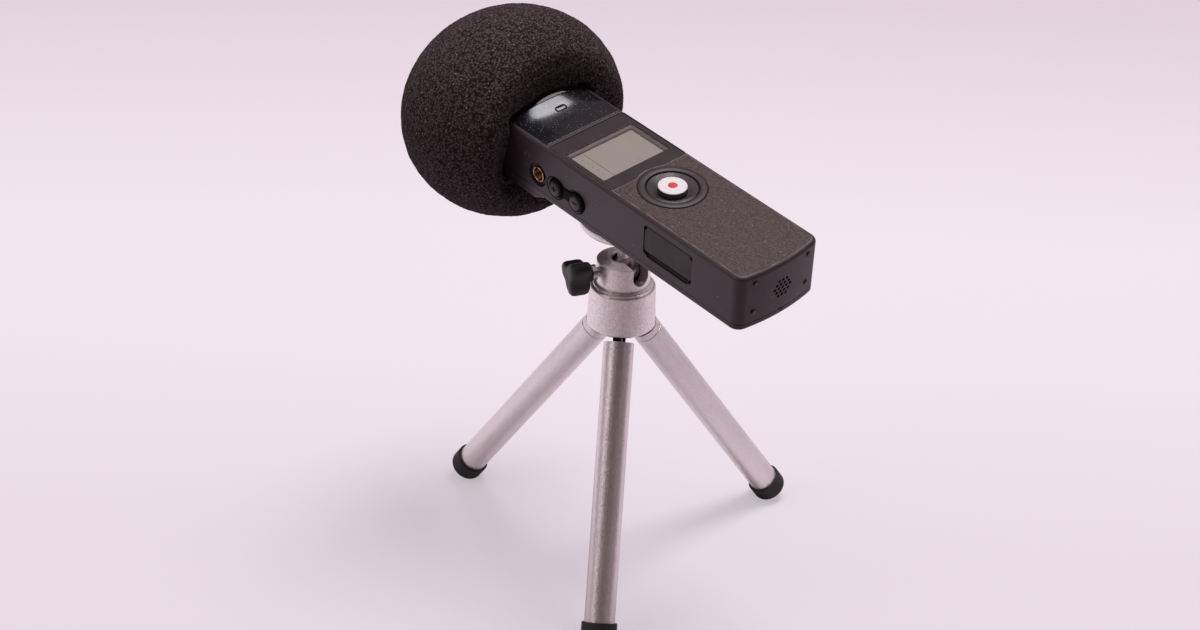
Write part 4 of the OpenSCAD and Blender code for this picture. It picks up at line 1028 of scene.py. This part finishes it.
def knob_grip():
    """The lock knob: a round hub that swells into three smooth lobes with a domed end."""
    hub_r, valley_r, lobe, lobes, roundness = 3.1, 4.2, 3.2, 3, 1.3
    lean = math.radians(-70)
    joint = JOINTS["knob_turn"]
    origin, axis = np.array(joint["pos_m"]), np.array(joint["axis"])
    side = np.cross((0, 0, 1), axis)
    up = np.cross(axis, side)
    reach = (np.array([v.co for v in frame["nodes"]["lock_knob"].data.vertices]) - origin) @ axis / MM
    start, end = reach.min(), reach.max()
    # Each ring: place along the axis, whether it has the lobed outline, share of its full size
    rings = [(start, 0, 1), (start + 1.1, 0, 1), (start + 1.3, 1, 0.8), (start + 1.9, 1, 0.95),
             (start + 3, 1, 1), (end - 2.2, 1, 1), (end - 1.1, 1, 0.96), (end - 0.45, 1, 0.86),
             (end - 0.1, 1, 0.7), (end, 1, 0.45)]
    turns = full_turn(120)
    verts = []
    for along, lobed, share in rings:
        for a in turns:
            swell = ((1 + math.cos(lobes * (a - lean))) / 2) ** roundness
            r = valley_r + lobe * swell if lobed else hub_r
            verts.append(origin + (axis * along + (side * math.cos(a) + up * math.sin(a)) * r * share) * MM)
    made = piece("knob_grip", verts, stack(len(turns), len(rings)), "knob", "black_plastic")
    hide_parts("lock_knob")


knob_grip()
platform_rim()
windscreen()
display_pieces()
panel_seams()
front_edge()
record_seams()
brow_skin()
peak_lamp()
cage_edge_highlight()
jack_sleeves()
rocker_signs()
rocker_arcs()
key_signs()
phones_sign()
level_marks()


# Floor, light and camera

# Directions over the floor: from the stand to the photo's camera, and to the photo's left
TO_CAMERA = (-0.688, -0.725, 0.0)
TO_LEFT = (-0.725, 0.688, 0.0)


def paper():
    """Pale paper that keeps the object's shadow. As seen, its tone is painted darker far behind the stand and
    towards the camera, as painted fall-off of the light and painted shadow. In reflections it is dim on the
    camera's side and glows on its left as a painted reflection. It bounces a duller light than it shows.
    """
    # The tones run from this far behind the stand to this far before it; a share of what is seen glows
    behind, before, glowing = -1.2, 0.4, 0.5
    look = new_look("paper")
    cloud = look.noise(2.5, 3.0)
    along = look.span(look.dot(look.at, TO_CAMERA), behind, before)
    normal = look.bump(look.noise(1800.0, 3.0), 0.00002, look.flat())
    lit = look.mix(cloud, (0.93, 0.90, 0.955), (0.945, 0.915, 0.97))
    dim = look.ramp(along, (0.755, 0.0), (0.85, 0.5), (0.95, 0.8))
    mirrored = look.first("BsdfDiffuse", {"Color": look.mix(dim, lit, (0.20, 0.125, 0.13)), "Normal": normal})
    # Painted reflection: in reflections the floor glows on its left side
    left = look.ramp(look.dot(look.at, TO_LEFT), (0.0, 0.0), (0.1, 0.13), (0.4, 0.17))
    mirrored = look.first("AddShader", {0: mirrored, 1: look.first("Emission", {"Color": left})})
    bounced = look.first("BsdfDiffuse", {"Color": look.mix(cloud, (0.44, 0.42, 0.45), (0.48, 0.46, 0.49))})
    # As seen, the tone is painted darker far behind the stand and towards the camera: painted fall-off of the
    # light and painted shadow of the stand
    far, bright, close = (0.79, 0.715, 0.79), (0.935, 0.88, 0.95), (0.87, 0.81, 0.885)
    tone = look.ramp(along, (0.40, far), (0.47, (0.84, 0.775, 0.845)), (0.60, bright), (0.67, bright),
                     (0.765, close))
    shown = look.first("BsdfDiffuse", {"Color": tone, "Normal": normal})
    seen = look.blend(glowing, shown, look.first("Emission", {"Color": tone}))
    path = look.node("LightPath").outputs
    unseen = look.blend(path["Is Glossy Ray"], bounced, mirrored)
    return look.close(look.blend(path["Is Camera Ray"], unseen, seen))


def floor():
    half = 6.0
    mesh = bpy.data.meshes.new("paper_floor")
    mesh.from_pydata([(x, y, 0) for x, y in bar(0, 0, 2 * half, 2 * half)], [], [(0, 1, 2, 3)])
    mesh.materials.append(paper())
    made = new_object("paper_floor", mesh)


def sky():
    """Studio dome: bright overhead, dim at the horizon, dark on the camera's side and dim opposite."""
    to_camera, opposite = (-0.60, -0.63, 0.49), (0.72, 0.58, 0.38)
    world = bpy.data.worlds.new("studio")
    bpy.context.scene.world = world
    look = Look(world, place="Generated")

    def shaded(colour, way, *stops):
        """A colour dimmed towards a direction."""
        inputs = {0: 1.0, 6: colour, 7: look.ramp(look.dot(look.at, way), *stops)}
        return look.node("Mix", inputs, data_type="RGBA", blend_type="MULTIPLY").outputs[2]

    height = look.node("SeparateXYZ", {0: look.at}).outputs["Z"]
    dome = look.ramp(height, (0.25, (0.14, 0.118, 0.12)), (0.92, (0.88, 0.73, 0.75)))
    dome = shaded(dome, to_camera, (0.45, (1, 1, 1)), (0.9, (0.2, 0.165, 0.16)))
    dome = shaded(dome, opposite, (0.62, (1, 1, 1)), (0.86, (0.5, 0.48, 0.5)))
    look.node("OutputWorld", {"Surface": look.first("Background", {"Color": dome})})


def softbox(name, at, aim, along, size, power, colour):
    """An area light that faces a point, with its long side along a direction."""
    light = bpy.data.lights.new(name, "AREA")
    light.shape = "RECTANGLE"
    light.size, light.size_y = size
    light.energy = power
    light.color = colour
    away = (Vector(at) - Vector(aim)).normalized()
    x = (Vector(along) - away * away.dot(Vector(along))).normalized()
    new_object(name, light).matrix_world = axes(x, away.cross(x), away, at)


def camera():
    """The photo's camera, solved from the case, the foam and the legs; off is its way from the stand."""
    stand = Vector((*JOINTS["head_tilt"]["pos_m"][:2], 0))
    off = Vector((-0.48515, -0.50027, 0.49417))
    right = Vector((0.73864, -0.67319, 0.03494))
    up = Vector((0.31193, 0.38728, 0.86759))
    back = Vector((-0.59759, -0.62994, 0.49605))
    eye = bpy.data.cameras.new("photo")
    eye.sensor_width = 36.0
    eye.lens = 66.68
    eye.clip_start = 0.01
    made = new_object("photo", eye)
    made.matrix_world = axes(right, up, back, stand + off)
    bpy.context.scene.camera = made


floor()
sky()
softbox("overhead", at=(0.46, 0.11, 1.82), aim=(0, 0.02, 0.15), along=(1, 0, 0), size=(0.90, 0.56),
        power=16.5, colour=(1.0, 0.94, 0.98))
softbox("side", at=(-1.4, 0.5, 0.9), aim=(0, 0, 0.1), along=(0, 1, 0), size=(1.0, 0.9),
        power=2.8, colour=(1.0, 0.92, 0.97))
camera()
bpy.context.scene.view_settings.view_transform = "Standard"
